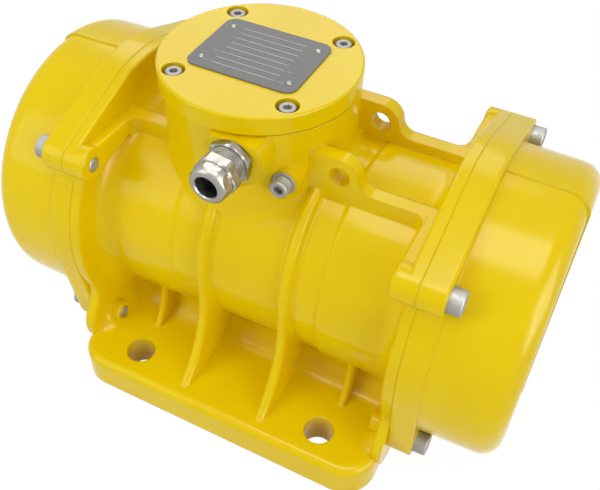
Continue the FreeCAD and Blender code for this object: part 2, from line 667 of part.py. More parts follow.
def motor_housing():
    parts = [barrel(), neck()]
    parts += foot()
    for side in (LEFT, RIGHT):
        parts.append(flange_plate(side * SEAM_X, side * FLANGE_X, LUG_BLEND_RADIUS))
        parts += flange_lobes(side * SEAM_X, side * FLANGE_X)
        parts += [lobe_cove(side, face) for face in (-1, 1)]
        parts += shelf(side)
        parts.append(lifting_plate(EYE_PLATE_INNER_Y, side))
        parts.append(lifting_plate(-EYE_PLATE_INNER_Y - EYE_PLATE_THICKNESS, side))
        parts += [plate_cove(side, face) for face in (-1, 1)]
        parts += [lower_boss(point, V(-side, 0, 0)) for point in lug_points(side * FLANGE_X)[2:]]
    for face in (-1, 1):
        for x in RIB_XS:
            parts.append(gusset(x, GUSSET_THICKNESS, GUSSET_ROUND, AXIS_HEIGHT, WAIST_RADIUS + RIB_HEIGHT,
                                AXIS_HEIGHT - GUSSET_DROP, FOOT_WIDTH / 2 - GUSSET_FOOT_INSET, face))
        for x in SMALL_GUSSET_XS:
            top_z = AXIS_HEIGHT - SMALL_GUSSET_DROP
            parts.append(gusset(x, SMALL_GUSSET_THICKNESS, SMALL_GUSSET_ROUND, top_z + BURIED,
                                SMALL_GUSSET_TOP_Y, top_z, SMALL_GUSSET_FOOT_Y, face))
    gland_boss = cyl(GLAND_BOSS_RADIUS, -GLAND_BOSS_Y / 2, V(GLAND_X, GLAND_BOSS_Y, GLAND_Z), V(0, 1, 0))
    above = NECK_TOP_Z - GLAND_BOSS_TOP_GAP
    gland_boss = gland_boss.cut(box(-FAR, FAR, -FAR, 0, above, above + FAR))
    parts.append(gland_boss)
    parts.append(cyl(EARTH_BOSS_RADIUS, -EARTH_BOSS_Y / 2, V(EARTH_X, EARTH_BOSS_Y, EARTH_Z), V(0, 1, 0)))
    body = fuse(parts)

    axis = V(1, 0, 0)
    cuts = [cyl(END_BORE_RADIUS, 2 * FAR, V(-FAR, 0, AXIS_HEIGHT), axis)]
    for side in (LEFT, RIGHT):
        pocket_x = side * (SEAM_X - SHIELD_POCKET_DEPTH)
        outward = V(side, 0, 0)
        cuts.append(cyl(SHIELD_POCKET_RADIUS, SHIELD_POCKET_DEPTH + 5, V(pocket_x, 0, AXIS_HEIGHT), outward))
        half = CORD_RING_WIDTH / 2
        groove = ring(CORD_RING_RADIUS - half, CORD_RING_RADIUS + half,
                      side * (SEAM_X - CORD_RING_DEPTH), side * (SEAM_X + 2))
        cuts.append(groove)
        for point in lug_points(side * SEAM_X):
            depth = SEAM_X - COVER_SCREW_TIP_X + THREAD_END_GAP
            cuts.append(cyl(M8[0] + THREAD_GAP, depth + 1, point + outward, V(-side, 0, 0)))
        for point in shield_screw_points(pocket_x):
            depth = SHIELD_SCREW_REACH - (SHIELD_FACE_X - SEAM_X + SHIELD_POCKET_DEPTH) + THREAD_END_GAP
            cuts.append(cyl(M5[0] + THREAD_GAP, depth + 1, point + outward, V(-side, 0, 0)))
    cavity = cyl(BOX_RADIUS, FAR, V(NECK_X, 0, BOX_FLOOR_Z), V(0, 0, 1))
    for point in lid_screw_points(BOX_FLOOR_Z - BURIED):
        cavity = cavity.cut(cyl(LID_SCREW_BOSS_RADIUS, 2 * FAR, point, V(0, 0, 1)))
        tip = V(point.x, point.y, lid_screw_seat() - LID_SCREW_REACH - THREAD_END_GAP)
        cuts.append(cyl(M5[0] + THREAD_GAP, FAR, tip, V(0, 0, 1)))
    cuts.append(cavity)
    wire_hole = cyl(WIRE_HOLE_RADIUS, FAR, V(NECK_X, WIRE_HOLE_Y, AXIS_HEIGHT), V(0, 0, 1))
    cuts.append(wire_hole)
    for point in foot_hole_points():
        cuts.append(cyl(FOOT_HOLE_RADIUS, FOOT_THICKNESS + 2 * BURIED, point - V(0, 0, BURIED), V(0, 0, 1)))
    for side in (-1, 1):
        depth = BOARD_THICKNESS + BOARD_SCREW_REACH + THREAD_END_GAP
        tip = board_screw_point(side) - V(0, 0, depth)
        cuts.append(cyl(M4[0] + THREAD_GAP, depth, tip, V(0, 0, 1)))
    relief = FOOT_RELIEF_HALF_WIDTH
    cuts.append(box(-FAR, FAR, -relief, relief, -BURIED, FOOT_RELIEF_DEPTH))
    cuts.append(cyl(GLAND_THREAD_RADIUS + THREAD_GAP, -GLAND_BOSS_Y / 2,
                    V(GLAND_X, GLAND_BOSS_Y - BURIED, GLAND_Z), V(0, 1, 0)))
    depth = EARTH_SCREW_REACH - EARTH_WASHER_THICKNESS + THREAD_END_GAP
    cuts.append(cyl(M6[0] + THREAD_GAP, depth + 1, V(EARTH_X, EARTH_BOSS_Y - 1, EARTH_Z), V(0, 1, 0)))
    # The earth screw's seat is spot-faced, so that its washer clears the round neck beside it.
    cuts.append(cyl(EARTH_WASHER_RADIUS + EARTH_SPOT_GAP, EARTH_BOSS_RADIUS,
                    V(EARTH_X, EARTH_BOSS_Y, EARTH_Z), V(0, -1, 0)))
    body = body.cut(Part.makeCompound(cuts))
    seat_end = CORE_HALF_LENGTH + STATOR_SEAT_OVERLAP
    seat = ring(STATOR_SEAT_RADIUS, END_BORE_RADIUS + BURIED, -seat_end, seat_end).cut(wire_hole)
    return body.fuse(seat).removeSplitter()


def terminal_cover():
    bottom = NECK_TOP_Z + GASKET_THICKNESS
    lid = cyl(LID_RADIUS, LID_THICKNESS, V(LID_X, 0, bottom), V(0, 0, 1))
    top = bottom + LID_THICKNESS
    rim = [e for e in lid.Edges if e.BoundBox.ZMin > top - 0.01]
    lid = lid.makeFillet(LID_EDGE_ROUND, rim)
    cuts = [cyl(LID_RECESS_RADIUS, LID_RECESS_DEPTH + 5, V(LID_X, 0, bottom - 5), V(0, 0, 1))]
    for point in lid_screw_points(top - LID_COUNTERBORE_DEPTH):
        cuts.append(cyl(LID_COUNTERBORE_RADIUS, LID_COUNTERBORE_DEPTH + 1, point, V(0, 0, 1)))
        cuts.append(cyl(M5[0] + SCREW_HOLE_GAP, 30, point - V(0, 0, 20), V(0, 0, 1)))
    for point in rivet_points(top):
        cuts.append(cyl(RIVET_SHANK_RADIUS + SNUG_GAP, RIVET_SHANK_LENGTH + 1,
                        point - V(0, 0, RIVET_SHANK_LENGTH), V(0, 0, 1)))
    return lid.cut(Part.makeCompound(cuts))


def lid_top():
    return NECK_TOP_Z + GASKET_THICKNESS + LID_THICKNESS


def terminal_gasket():
    base = V(NECK_X, 0, NECK_TOP_Z)
    up = V(0, 0, 1)
    disc = cyl(NECK_RADIUS - GASKET_SETBACK, GASKET_THICKNESS, base, up)
    hole = cyl(BOX_RADIUS, GASKET_THICKNESS + 2, base - up, up)
    for point in lid_screw_points(NECK_TOP_Z - 2):
        hole = hole.cut(cyl(LID_SCREW_BOSS_RADIUS, 10, point, up))
    gasket = disc.cut(hole)
    holes = [cyl(M5[0] + SCREW_HOLE_GAP, 10, point, up) for point in lid_screw_points(NECK_TOP_Z - 2)]
    return gasket.cut(Part.makeCompound(holes))


def lid_screw_seat():
    return lid_top() - LID_COUNTERBORE_DEPTH + LID_WASHER_THICKNESS


def terminal_cover_screws():
    points = lid_screw_points(lid_screw_seat())
    return [socket_screw(M5, point, V(0, 0, 1), LID_SCREW_REACH) for point in points]


def terminal_cover_washers():
    thick = LID_WASHER_THICKNESS
    up = V(0, 0, 1)
    made = []
    for point in lid_screw_points(lid_top() - LID_COUNTERBORE_DEPTH):
        hole = cyl(M5[0] + THREAD_GAP, thick + 2, point - up, up)
        made.append(cyl(LID_WASHER_RADIUS, thick, point, up).cut(hole))
    return made


def rivet_points(z):
    return [V(LID_X + PLATE_OFFSET_X + sx * RIVET_SPACING_X / 2, sy * RIVET_SPACING_Y / 2, z)
            for sx in (-1, 1) for sy in (-1, 1)]


def nameplate():
    z = lid_top()
    x0 = LID_X + PLATE_OFFSET_X - PLATE_LENGTH / 2
    plate = box(x0, x0 + PLATE_LENGTH, -PLATE_WIDTH / 2, PLATE_WIDTH / 2, z, z + PLATE_THICKNESS)
    corners = [e for e in plate.Edges if abs(e.BoundBox.ZLength - PLATE_THICKNESS) < 0.01]
    plate = plate.makeFillet(PLATE_CORNER_RADIUS, corners)
    holes = [cyl(RIVET_SHANK_RADIUS + SNUG_GAP, 5, point, V(0, 0, 1)) for point in rivet_points(z - 2)]
    return plate.cut(Part.makeCompound(holes))


def nameplate_rivets():
    made = []
    up = V(0, 0, 1)
    seat = lid_top() + PLATE_THICKNESS
    for point in rivet_points(seat):
        dome_radius = (RIVET_RADIUS ** 2 + RIVET_HEIGHT ** 2) / (2 * RIVET_HEIGHT)
        ball = Part.makeSphere(dome_radius, point - up * (dome_radius - RIVET_HEIGHT))
        head = ball.common(cyl(RIVET_RADIUS + 1, RIVET_HEIGHT + 1, point, up))
        length = RIVET_SHANK_LENGTH + PLATE_THICKNESS
        shank = cyl(RIVET_SHANK_RADIUS, length + 0.3, point - up * length, up)
        made.append(head.fuse(shank).removeSplitter())
    return made


def gland_at(distance):
    """Point on the gland's axis, measured outwards from its boss."""
    return V(GLAND_X, GLAND_BOSS_Y - distance, GLAND_Z)


def gland_body():
    out = V(0, -1, 0)
    start = GLAND_RING_THICKNESS
    hexagon_end = start + GLAND_HEX_THICKNESS
    body = hexagon(GLAND_HEX_ACROSS, GLAND_HEX_THICKNESS, gland_at(start), out)
    corner = GLAND_HEX_ACROSS / math.sqrt(3)
    trim = Part.makeCone(corner + 2.4, corner - 0.9, GLAND_HEX_THICKNESS, gland_at(start), out)
    body = body.common(trim)
    tail = GLAND_INSIDE_LENGTH
    thread = cyl(GLAND_THREAD_RADIUS, tail + hexagon_end + GLAND_NECK_LENGTH + 4, gland_at(-tail), out)
    body = body.fuse(thread)
    bore = cyl(GLAND_SOCKET_RADIUS, 60, gland_at(-tail - 1), out)
    grooves = []
    pitch = 1.5
    for i in range(3):
        at = gland_at(hexagon_end + 0.5 + i * pitch)
        turn = cyl(GLAND_THREAD_RADIUS + 1, 0.6, at, out)
        grooves.append(turn.cut(cyl(GLAND_THREAD_RADIUS - 0.5, 2, at - out * 0.5, out)))
    return body.cut(Part.makeCompound([bore] + grooves))


def gland_nut():
    out = V(0, -1, 0)
    start = GLAND_RING_THICKNESS + GLAND_HEX_THICKNESS + GLAND_NECK_LENGTH
    nut = hexagon(GLAND_HEX_ACROSS, GLAND_NUT_HEX_LENGTH, gland_at(start), out)
    corner = GLAND_HEX_ACROSS / math.sqrt(3)
    nut = nut.common(Part.makeCone(corner - 0.9, corner + 2.4, GLAND_NUT_HEX_LENGTH, gland_at(start), out))
    dome_start = start + GLAND_NUT_HEX_LENGTH
    dome = cyl(GLAND_DOME_RADIUS, GLAND_DOME_LENGTH, gland_at(dome_start), out)
    front = gland_at(dome_start + GLAND_DOME_LENGTH)
    rim = [e for e in dome.Edges if (e.CenterOfMass - front).Length < 0.01]
    dome = dome.makeFillet(3.6, rim[:1])
    nut = nut.fuse(dome).removeSplitter()
    nut = nut.cut(cyl(GLAND_BORE_RADIUS, 60, gland_at(start - 5), out))
    inside = GLAND_NUT_HEX_LENGTH - 1.5
    return nut.cut(cyl(GLAND_THREAD_RADIUS + THREAD_GAP, inside + 5, gland_at(start - 5), out))


def gland_seal():
    """Rubber bush squeezed between the gland's body and its nut."""
    out = V(0, -1, 0)
    start = GLAND_RING_THICKNESS + GLAND_HEX_THICKNESS
    length = GLAND_NECK_LENGTH + GLAND_NUT_HEX_LENGTH - 1.6
    bush = cyl(GLAND_SOCKET_RADIUS - FIT_CLEARANCE, length, gland_at(start), out)
    return bush.cut(cyl(GLAND_BORE_RADIUS - 0.8, length + 2, gland_at(start - 1), out))


def gland_ring():
    out = V(0, -1, 0)
    disc = cyl(GLAND_THREAD_RADIUS + 1.8, GLAND_RING_THICKNESS, gland_at(0), out)
    return disc.cut(cyl(GLAND_THREAD_RADIUS + THREAD_GAP, 5, gland_at(-1), out))


def earth_screw():
    seat = V(EARTH_X, EARTH_BOSS_Y - EARTH_WASHER_THICKNESS, EARTH_Z)
    return socket_screw(M6, seat, V(0, -1, 0), EARTH_SCREW_REACH)


def earth_washer():
    out = V(0, -1, 0)
    base = V(EARTH_X, EARTH_BOSS_Y, EARTH_Z)
    return cyl(EARTH_WASHER_RADIUS, EARTH_WASHER_THICKNESS, base, out).cut(
        cyl(M6[0] + THREAD_GAP, EARTH_WASHER_THICKNESS + 2, base - out, out))


def board_screw_point(side):
    offset = side * (BOARD_LENGTH / 2 - BOARD_SCREW_INSET)
    return V(NECK_X + BOARD_OFFSET_X + offset, 0, BOX_FLOOR_Z + BOARD_THICKNESS)


def stud_points(z):
    return [V(NECK_X + BOARD_OFFSET_X + i * STUD_SPACING_X, sy * STUD_SPACING_Y / 2, z)
            for i in (-1, 0, 1) for sy in (-1, 1)]


def terminal_board():
    z = BOX_FLOOR_Z
    middle = NECK_X + BOARD_OFFSET_X
    board = box(middle - BOARD_LENGTH / 2, middle + BOARD_LENGTH / 2, -BOARD_WIDTH / 2, BOARD_WIDTH / 2,
                z, z + BOARD_THICKNESS)
    corners = [e for e in board.Edges if abs(e.BoundBox.ZLength - BOARD_THICKNESS) < 0.01]
    board = board.makeFillet(BOARD_CORNER_RADIUS, corners)
    hole = STUD_RADIUS + SNUG_GAP
    holes = [cyl(hole, BOARD_THICKNESS + 2, point - V(0, 0, 1), V(0, 0, 1)) for point in stud_points(z)]
    for side in (-1, 1):
        below = board_screw_point(side) - V(0, 0, BOARD_THICKNESS + 1)
        holes.append(cyl(M4[0] + SCREW_HOLE_GAP, BOARD_THICKNESS + 2, below, V(0, 0, 1)))
    return board.cut(Part.makeCompound(holes))


def terminal_studs():
    length = BOARD_THICKNESS - STUD_LIFT + STUD_HEIGHT
    return [cyl(STUD_RADIUS, length, point, V(0, 0, 1)) for point in stud_points(BOX_FLOOR_Z + STUD_LIFT)]


def terminal_nuts():
    z = BOX_FLOOR_Z + BOARD_THICKNESS
    made = []
    for point in stud_points(z):
        nut = hexagon(NUT_ACROSS, NUT_THICKNESS, point, V(0, 0, 1))
        made.append(nut.cut(cyl(STUD_RADIUS + SNUG_GAP, NUT_THICKNESS + 2, point - V(0, 0, 1), V(0, 0, 1))))
    return made


def board_screws():
    return [socket_screw(M4, board_screw_point(side), V(0, 0, 1), BOARD_THICKNESS + BOARD_SCREW_REACH, 0.4)
            for side in (-1, 1)]


def end_cover():
    """Cup of cast metal with a lugged flange, for the right-hand end."""
    z = AXIS_HEIGHT
    flange_end = SEAM_X + COVER_FLANGE_THICKNESS
    round_lean = COVER_ROUND * math.sqrt(0.5)

    def skin(grow, end):
        """Turned outside of the cup, from inside the flange to its rounded end."""
        r0 = COVER_RADIUS + grow
        r1 = COVER_END_RADIUS + grow
        corner = (end - COVER_ROUND, r1 - COVER_ROUND)
        edges = [
            Part.makeLine(V(SEAM_X, 0, z), V(SEAM_X, 0, z + r0)),
            Part.makeLine(V(SEAM_X, 0, z + r0), V(flange_end, 0, z + r0)),
            Part.makeLine(V(flange_end, 0, z + r0), V(corner[0], 0, z + r1)),
            Part.Arc(V(corner[0], 0, z + r1),
                     V(corner[0] + round_lean, 0, z + corner[1] + round_lean),
                     V(end, 0, z + corner[1])).toShape(),
            Part.makeLine(V(end, 0, z + corner[1]), V(end, 0, z)),
            Part.makeLine(V(end, 0, z), V(SEAM_X, 0, z)),
        ]
        return revolve(Part.Wire(edges))

    # The front half of the casting lies a step lower than the back half and the end.
    low = skin(0, COVER_END_X - COVER_STEP)
    high = skin(COVER_STEP, COVER_END_X)
    behind = box(SEAM_X - 1, COVER_END_X + 1, COVER_STEP_Y, FAR, z - FAR, z + FAR)
    high = high.common(behind)
    floor = FLANGE_FLOOR_GAP
    high = high.cut(box(0, FAR, -FAR, FAR, floor - FAR, floor))
    plate = flange_plate(SEAM_X, flange_end, 0)
    cup = fuse([low, high, plate])

    inner = COVER_RADIUS - COVER_WALL
    depth = COVER_END_X - COVER_STEP - COVER_WALL
    hollow = cyl(inner - 1, depth - SEAM_X - COVER_LIP_LENGTH, V(SEAM_X + COVER_LIP_LENGTH, 0, z), V(1, 0, 0))
    rim = [e for e in hollow.Edges if abs(e.BoundBox.XMin - depth) < 0.01]
    hollow = hollow.makeFillet(COVER_ROUND - COVER_WALL, rim)
    cuts = [hollow, cyl(COVER_LIP_RADIUS, COVER_LIP_LENGTH + 2, V(SEAM_X - 1, 0, z), V(1, 0, 0))]
    seat_x = flange_end - COVER_SCREW_SEAT_DEPTH
    for point in lug_points(seat_x):
        cuts.append(cyl(M8[0] + SCREW_HOLE_GAP, 40, point - V(30, 0, 0), V(1, 0, 0)))
        cuts.append(cyl(M8[1] + SCREW_HOLE_GAP, 12, point, V(1, 0, 0)))
    return cup.cut(Part.makeCompound(cuts))


def cover_ring():
    half = CORD_RING_WIDTH / 2 - 0.1
    band = ring(CORD_RING_RADIUS - half, CORD_RING_RADIUS + half, SEAM_X - CORD_RING_DEPTH, SEAM_X)
    rims = [e for e in band.Edges if e.Curve.TypeId == "Part::GeomCircle"]
    return band.makeFillet(0.8, rims)


def cover_screws():
    seat_x = SEAM_X + COVER_FLANGE_THICKNESS - COVER_SCREW_SEAT_DEPTH
    made = []
    for side in (LEFT, RIGHT):
        for point in lug_points(seat_x):
            screw = socket_screw(M8, point, V(1, 0, 0), seat_x - COVER_SCREW_TIP_X)
            made.append(side_of(screw, side))
    return made


def bearing_shield():
    z = AXIS_HEIGHT
    hub_bore = SHAFT_CORE_RADIUS + 2
    seat = BEARING_OUTSIDE + FIT_CLEARANCE
    spigot = END_BORE_RADIUS - FIT_CLEARANCE
    rim_x = SEAM_X - SHIELD_POCKET_DEPTH
    profile = [(SHIELD_HUB_X, hub_bore), (SHIELD_HUB_X, SHIELD_HUB_RADIUS), (SHIELD_WEB_X, SHIELD_HUB_RADIUS + 2),
               (SHIELD_WEB_X, spigot - 6), (SHIELD_WEB_X - 4, spigot - 6), (SHIELD_WEB_X - 4, spigot),
               (rim_x, spigot), (rim_x, SHIELD_POCKET_RADIUS - FIT_CLEARANCE),
               (SHIELD_FACE_X, SHIELD_POCKET_RADIUS - FIT_CLEARANCE), (SHIELD_FACE_X, seat),
               (BEARING_INNER_X, seat), (BEARING_INNER_X, hub_bore)]
    shield = revolve(polygon([V(x, 0, z + r) for x, r in profile]))
    ribs = []
    for i in range(SHIELD_RIB_COUNT):
        rib = box(SHIELD_HUB_X + 6, SHIELD_WEB_X + 1, -SHIELD_RIB_THICKNESS / 2, SHIELD_RIB_THICKNESS / 2,
                  SHIELD_HUB_RADIUS - 2, spigot - 5)
        rib.translate(V(0, 0, z))
        slope = polygon([V(SHIELD_HUB_X, -9, z + SHIELD_HUB_RADIUS), V(SHIELD_WEB_X - 4, -9, z + spigot - 4),
                         V(SHIELD_HUB_X, -9, z + spigot)])
        rib = rib.cut(Part.Face(slope).extrude(V(0, 18, 0)))
        rib.rotate(V(0, 0, z), V(1, 0, 0), 360 * i / SHIELD_RIB_COUNT)
        ribs.append(rib)
    shield = fuse([shield] + ribs)
    cuts = [cyl(M5[0] + SCREW_HOLE_GAP, 40, point, V(1, 0, 0)) for point in shield_screw_points(rim_x - 20)]
    depth = CAP_SCREW_REACH - CAP_THICKNESS + THREAD_END_GAP
    cuts += [cyl(M5[0] + THREAD_GAP, depth + 1, point, V(1, 0, 0))
             for point in cap_screw_points(SHIELD_FACE_X - depth)]
    return shield.cut(Part.makeCompound(cuts))


def shield_screws():
    made = []
    for side in (LEFT, RIGHT):
        for point in shield_screw_points(SHIELD_FACE_X):
            made.append(side_of(socket_screw(M5, point, V(1, 0, 0), SHIELD_SCREW_REACH, 0.4), side))
        for point in cap_screw_points(SHIELD_FACE_X + CAP_THICKNESS):
            made.append(side_of(socket_screw(M5, point, V(1, 0, 0), CAP_SCREW_REACH, 0.4), side))
    return made


def bearing_cap():
    x0 = SHIELD_FACE_X
    disc = ring(BEARING_BORE + 1, CAP_RADIUS, x0, x0 + CAP_THICKNESS)
    inner = BEARING_OUTSIDE - OUTER_RING_WALL + 0.4
    pilot = ring(inner, BEARING_OUTSIDE - 0.3, BEARING_INNER_X + BEARING_WIDTH, x0 + 1)
    cap = fuse([disc, pilot])
    holes = [cyl(M5[0] + SCREW_HOLE_GAP, 20, point, V(1, 0, 0)) for point in cap_screw_points(x0 - 5)]
    return cap.cut(Part.makeCompound(holes))


def bearing_outer():
    x0 = BEARING_INNER_X
    x1 = x0 + BEARING_WIDTH
    inner = BEARING_OUTSIDE - OUTER_RING_WALL
    band = ring(inner - 1.8, BEARING_OUTSIDE, x0, x1)
    track = (BEARING_WIDTH - ROLLER_LENGTH) / 2 - 0.2
    band = band.cut(ring(inner - 5, inner, x0 + track, x1 - track))
    edges = [e for e in band.Edges if e.Curve.TypeId == "Part::GeomCircle"
             and abs(e.Curve.Radius - BEARING_OUTSIDE) < 0.01]
    return band.makeFillet(1.0, edges)


def bearing_inner():
    x0 = BEARING_INNER_X
    x1 = x0 + BEARING_WIDTH
    band = ring(BEARING_BORE + FIT_CLEARANCE / 2, BEARING_BORE + INNER_RING_WALL, x0, x1)
    return band


def roller_pitch():
    low = BEARING_BORE + INNER_RING_WALL
    high = BEARING_OUTSIDE - OUTER_RING_WALL
    return (low + high) / 2, (high - low) / 2 - RUN_CLEARANCE


def bearing_rollers():
    pitch, radius = roller_pitch()
    x0 = BEARING_INNER_X + (BEARING_WIDTH - ROLLER_LENGTH) / 2
    made = []
    for i in range(ROLLER_COUNT):
        made.append(cyl(radius, ROLLER_LENGTH, axis_point(x0, 360 * i / ROLLER_COUNT, pitch), V(1, 0, 0)))
    return made


def bearing_cage():
    pitch, radius = roller_pitch()
    x0 = BEARING_INNER_X + (BEARING_WIDTH - ROLLER_LENGTH) / 2
    side_wall = 2.0
    cage = ring(pitch - 2.2, pitch + 2.2, x0 - side_wall, x0 + ROLLER_LENGTH + side_wall)
    pockets = [cyl(radius + 0.15, ROLLER_LENGTH + 0.3, axis_point(x0 - 0.15, 360 * i / ROLLER_COUNT, pitch),
                   V(1, 0, 0)) for i in range(ROLLER_COUNT)]
    return cage.cut(Part.makeCompound(pockets))


def slot_face(width, low, high, x):
    """Face of one slot at the top of the motor axis."""
    return Part.Face(polygon([V(x, -width / 2, low), V(x, width / 2, low),
                              V(x, width / 2, high), V(x, -width / 2, high)]))


def slots(width, low, high, x0, x1):
    made = []
    for i in range(SLOT_COUNT):
        bar = slot_face(width, AXIS_HEIGHT + low, AXIS_HEIGHT + high, x0).extrude(V(x1 - x0, 0, 0))
        bar.rotate(V(0, 0, AXIS_HEIGHT), V(1, 0, 0), 360 * i / SLOT_COUNT)
        made.append(bar)
    return made


def stator_core():
    half = CORE_HALF_LENGTH
    core = ring(STATOR_BORE, STATOR_SEAT_RADIUS - FIT_CLEARANCE, -half, half)
    cuts = slots(SLOT_WIDTH, SLOT_TOP_RADIUS, SLOT_BOTTOM_RADIUS, -half - 1, half + 1)
    mouths = slots(SLOT_MOUTH, STATOR_BORE - 2, SLOT_TOP_RADIUS + 0.5, -half - 1, half + 1)
    return core.cut(Part.makeCompound(cuts)).cut(Part.makeCompound(mouths))


def stator_winding():
    gap = WINDING_CLEARANCE
    half = CORE_HALF_LENGTH
    bars = slots(SLOT_WIDTH - 2 * gap, WINDING_INNER_RADIUS, SLOT_BOTTOM_RADIUS - gap, -half - 1, half + 1)
    ends = []
    for side in (LEFT, RIGHT):
        start = half + gap
        head = ring(WINDING_INNER_RADIUS, WINDING_OUTER_RADIUS, start, start + WINDING_OVERHANG)
        rims = [e for e in head.Edges if e.Curve.TypeId == "Part::GeomCircle"]
        ends.append(side_of(head.makeFillet(5.0, rims), side))
    return fuse(ends + bars)


def cage_bar_points(x):
    return [axis_point(x, 360 * i / CAGE_BAR_COUNT, CAGE_BAR_PITCH) for i in range(CAGE_BAR_COUNT)]


def rotor_core():
    half = CORE_HALF_LENGTH
    core = ring(SHAFT_CORE_RADIUS + FIT_CLEARANCE / 2, STATOR_BORE - AIR_GAP, -half, half)
    holes = [cyl(CAGE_BAR_RADIUS + FIT_CLEARANCE / 2, 2 * half + 2, point, V(1, 0, 0))
             for point in cage_bar_points(-half - 1)]
    return core.cut(Part.makeCompound(holes))


def rotor_cage():
    half = CORE_HALF_LENGTH
    outer = STATOR_BORE - AIR_GAP - 0.6
    parts = [ring(CAGE_RING_BORE, outer, -half - CAGE_RING_LENGTH, -half),
             ring(CAGE_RING_BORE, outer, half, half + CAGE_RING_LENGTH)]
    parts += [cyl(CAGE_BAR_RADIUS, 2 * half + 2, point, V(1, 0, 0)) for point in cage_bar_points(-half - 1)]
    return fuse(parts)


def shaft():
    z = AXIS_HEIGHT
    end = retainer_x() + RETAINER_WIDTH + SHAFT_TIP
    profile = [(0, SHAFT_CORE_RADIUS), (BEARING_INNER_X, SHAFT_CORE_RADIUS), (BEARING_INNER_X, BEARING_BORE),
               (SHAFT_STEP_X, BEARING_BORE), (SHAFT_STEP_X, SHAFT_END_RADIUS),
               (end - SHAFT_CHAMFER, SHAFT_END_RADIUS), (end, SHAFT_END_RADIUS - SHAFT_CHAMFER)]
    points = [V(x, 0, z + r) for x, r in profile]
    mirrored = [V(-q.x, 0, q.z) for q in reversed(points[1:])]
    outline = [V(-end, 0, z)] + mirrored + points + [V(end, 0, z)]
    body = revolve(polygon(outline))
    cuts = []
    for side in (LEFT, RIGHT):
        way = box(fixed_x(), fixed_x() + WEIGHT_THICKNESS, -KEY_WIDTH / 2, KEY_WIDTH / 2,
                  z - SHAFT_END_RADIUS - 2, z - SHAFT_END_RADIUS + KEY_HEIGHT)
        cuts.append(side_of(way, side))
        groove_x = retainer_x()
        cuts.append(side_of(ring(RETAINER_GROOVE, SHAFT_END_RADIUS + 3, groove_x,
                                 groove_x + RETAINER_WIDTH + 0.1), side))
    return body.cut(Part.makeCompound(cuts))


def fixed_x():
    """Inner face of the fixed weight, clear of the heads of the cap's screws."""
    return SHIELD_FACE_X + CAP_THICKNESS + M5[2] + CAP_SCREW_CLEARANCE


def adjust_x():
    return fixed_x() + WEIGHT_THICKNESS + WEIGHT_SPACE


def retainer_x():
    return adjust_x() + WEIGHT_THICKNESS + WEIGHT_SPACE


def weight(x0, keyed):
    """Eccentric weight that hangs from the shaft, with a split clamp above the bore."""
    z = AXIS_HEIGHT
    x1 = x0 + WEIGHT_THICKNESS
    half = WEIGHT_HALF_ANGLE
    disc = cyl(WEIGHT_RADIUS, WEIGHT_THICKNESS, V(x0, 0, z), V(1, 0, 0))
    start = axis_point(x0, 180 - half, 3 * WEIGHT_RADIUS)
    far = axis_point(x0, 180, 3 * WEIGHT_RADIUS)
    end = V(x0, -start.y, start.z)
    wedge = Part.Face(polygon([V(x0, 0, z), start, V(x0, start.y, far.z), V(x0, end.y, far.z), end]))
    sector = disc.common(wedge.extrude(V(WEIGHT_THICKNESS, 0, 0)))
    hub = cyl(WEIGHT_HUB_RADIUS, WEIGHT_THICKNESS, V(x0, 0, z), V(1, 0, 0))
    lug = box(x0, x1, -WEIGHT_LUG_HALF_WIDTH, WEIGHT_LUG_HALF_WIDTH, z, z + WEIGHT_LUG_HEIGHT)
    tops = [e for e in lug.Edges if e.BoundBox.ZMin > z + WEIGHT_LUG_HEIGHT - 0.01 and e.BoundBox.XLength > 1]
    lug = lug.makeFillet(4.0, tops)
    body = fuse([sector, hub, lug])
    cuts = [cyl(WEIGHT_BORE, WEIGHT_THICKNESS + 2, V(x0 - 1, 0, z), V(1, 0, 0)),
            box(x0 - 1, x1 + 1, -WEIGHT_SLIT / 2, WEIGHT_SLIT / 2, z, z + 60)]
    middle = (x0 + x1) / 2
    height = z + CLAMP_HEIGHT
    cuts.append(cyl(M8[0] + SCREW_HOLE_GAP, 60, V(middle, -30, height), V(0, 1, 0)))
    seat = WEIGHT_LUG_HALF_WIDTH - 5
    cuts.append(cyl(M8[1] + SCREW_HOLE_GAP, 20, V(middle, -seat, height), V(0, -1, 0)))
    if keyed:
        cuts.append(box(x0 - 1, x1 + 1, -KEY_WIDTH / 2 - 0.05, KEY_WIDTH / 2 + 0.05,
                        z - WEIGHT_BORE - KEY_HEIGHT, z))
    return body.cut(Part.makeCompound(cuts))


def clamp_screw(x0):
    middle = x0 + WEIGHT_THICKNESS / 2
    seat = V(middle, -(WEIGHT_LUG_HALF_WIDTH - 5), AXIS_HEIGHT + CLAMP_HEIGHT)
    return socket_screw(M8, seat, V(0, -1, 0), 2 * WEIGHT_LUG_HALF_WIDTH - 8)


def weight_key():
    z = AXIS_HEIGHT
    return box(fixed_x(), fixed_x() + WEIGHT_THICKNESS, -KEY_WIDTH / 2, KEY_WIDTH / 2,
               z - WEIGHT_BORE - KEY_HEIGHT + 0.2, z - SHAFT_END_RADIUS + KEY_HEIGHT)


def retainer():
    """Retaining ring that snaps into the groove at the shaft's end."""
    x0 = retainer_x()
    band = ring(RETAINER_GROOVE + 0.05, RETAINER_RADIUS, x0 + 0.05, x0 + RETAINER_WIDTH)
    mouth = box(x0 - 2, x0 + 5, -4, 4, AXIS_HEIGHT, AXIS_HEIGHT + 40)
    return band.cut(mouth)


def save(name, shape):
    """Write one node: a solid, or a group of separate solids."""
    if isinstance(shape, list):
        shape = Part.makeCompound(shape)
    shape.exportStep("parts/" + name + ".step")


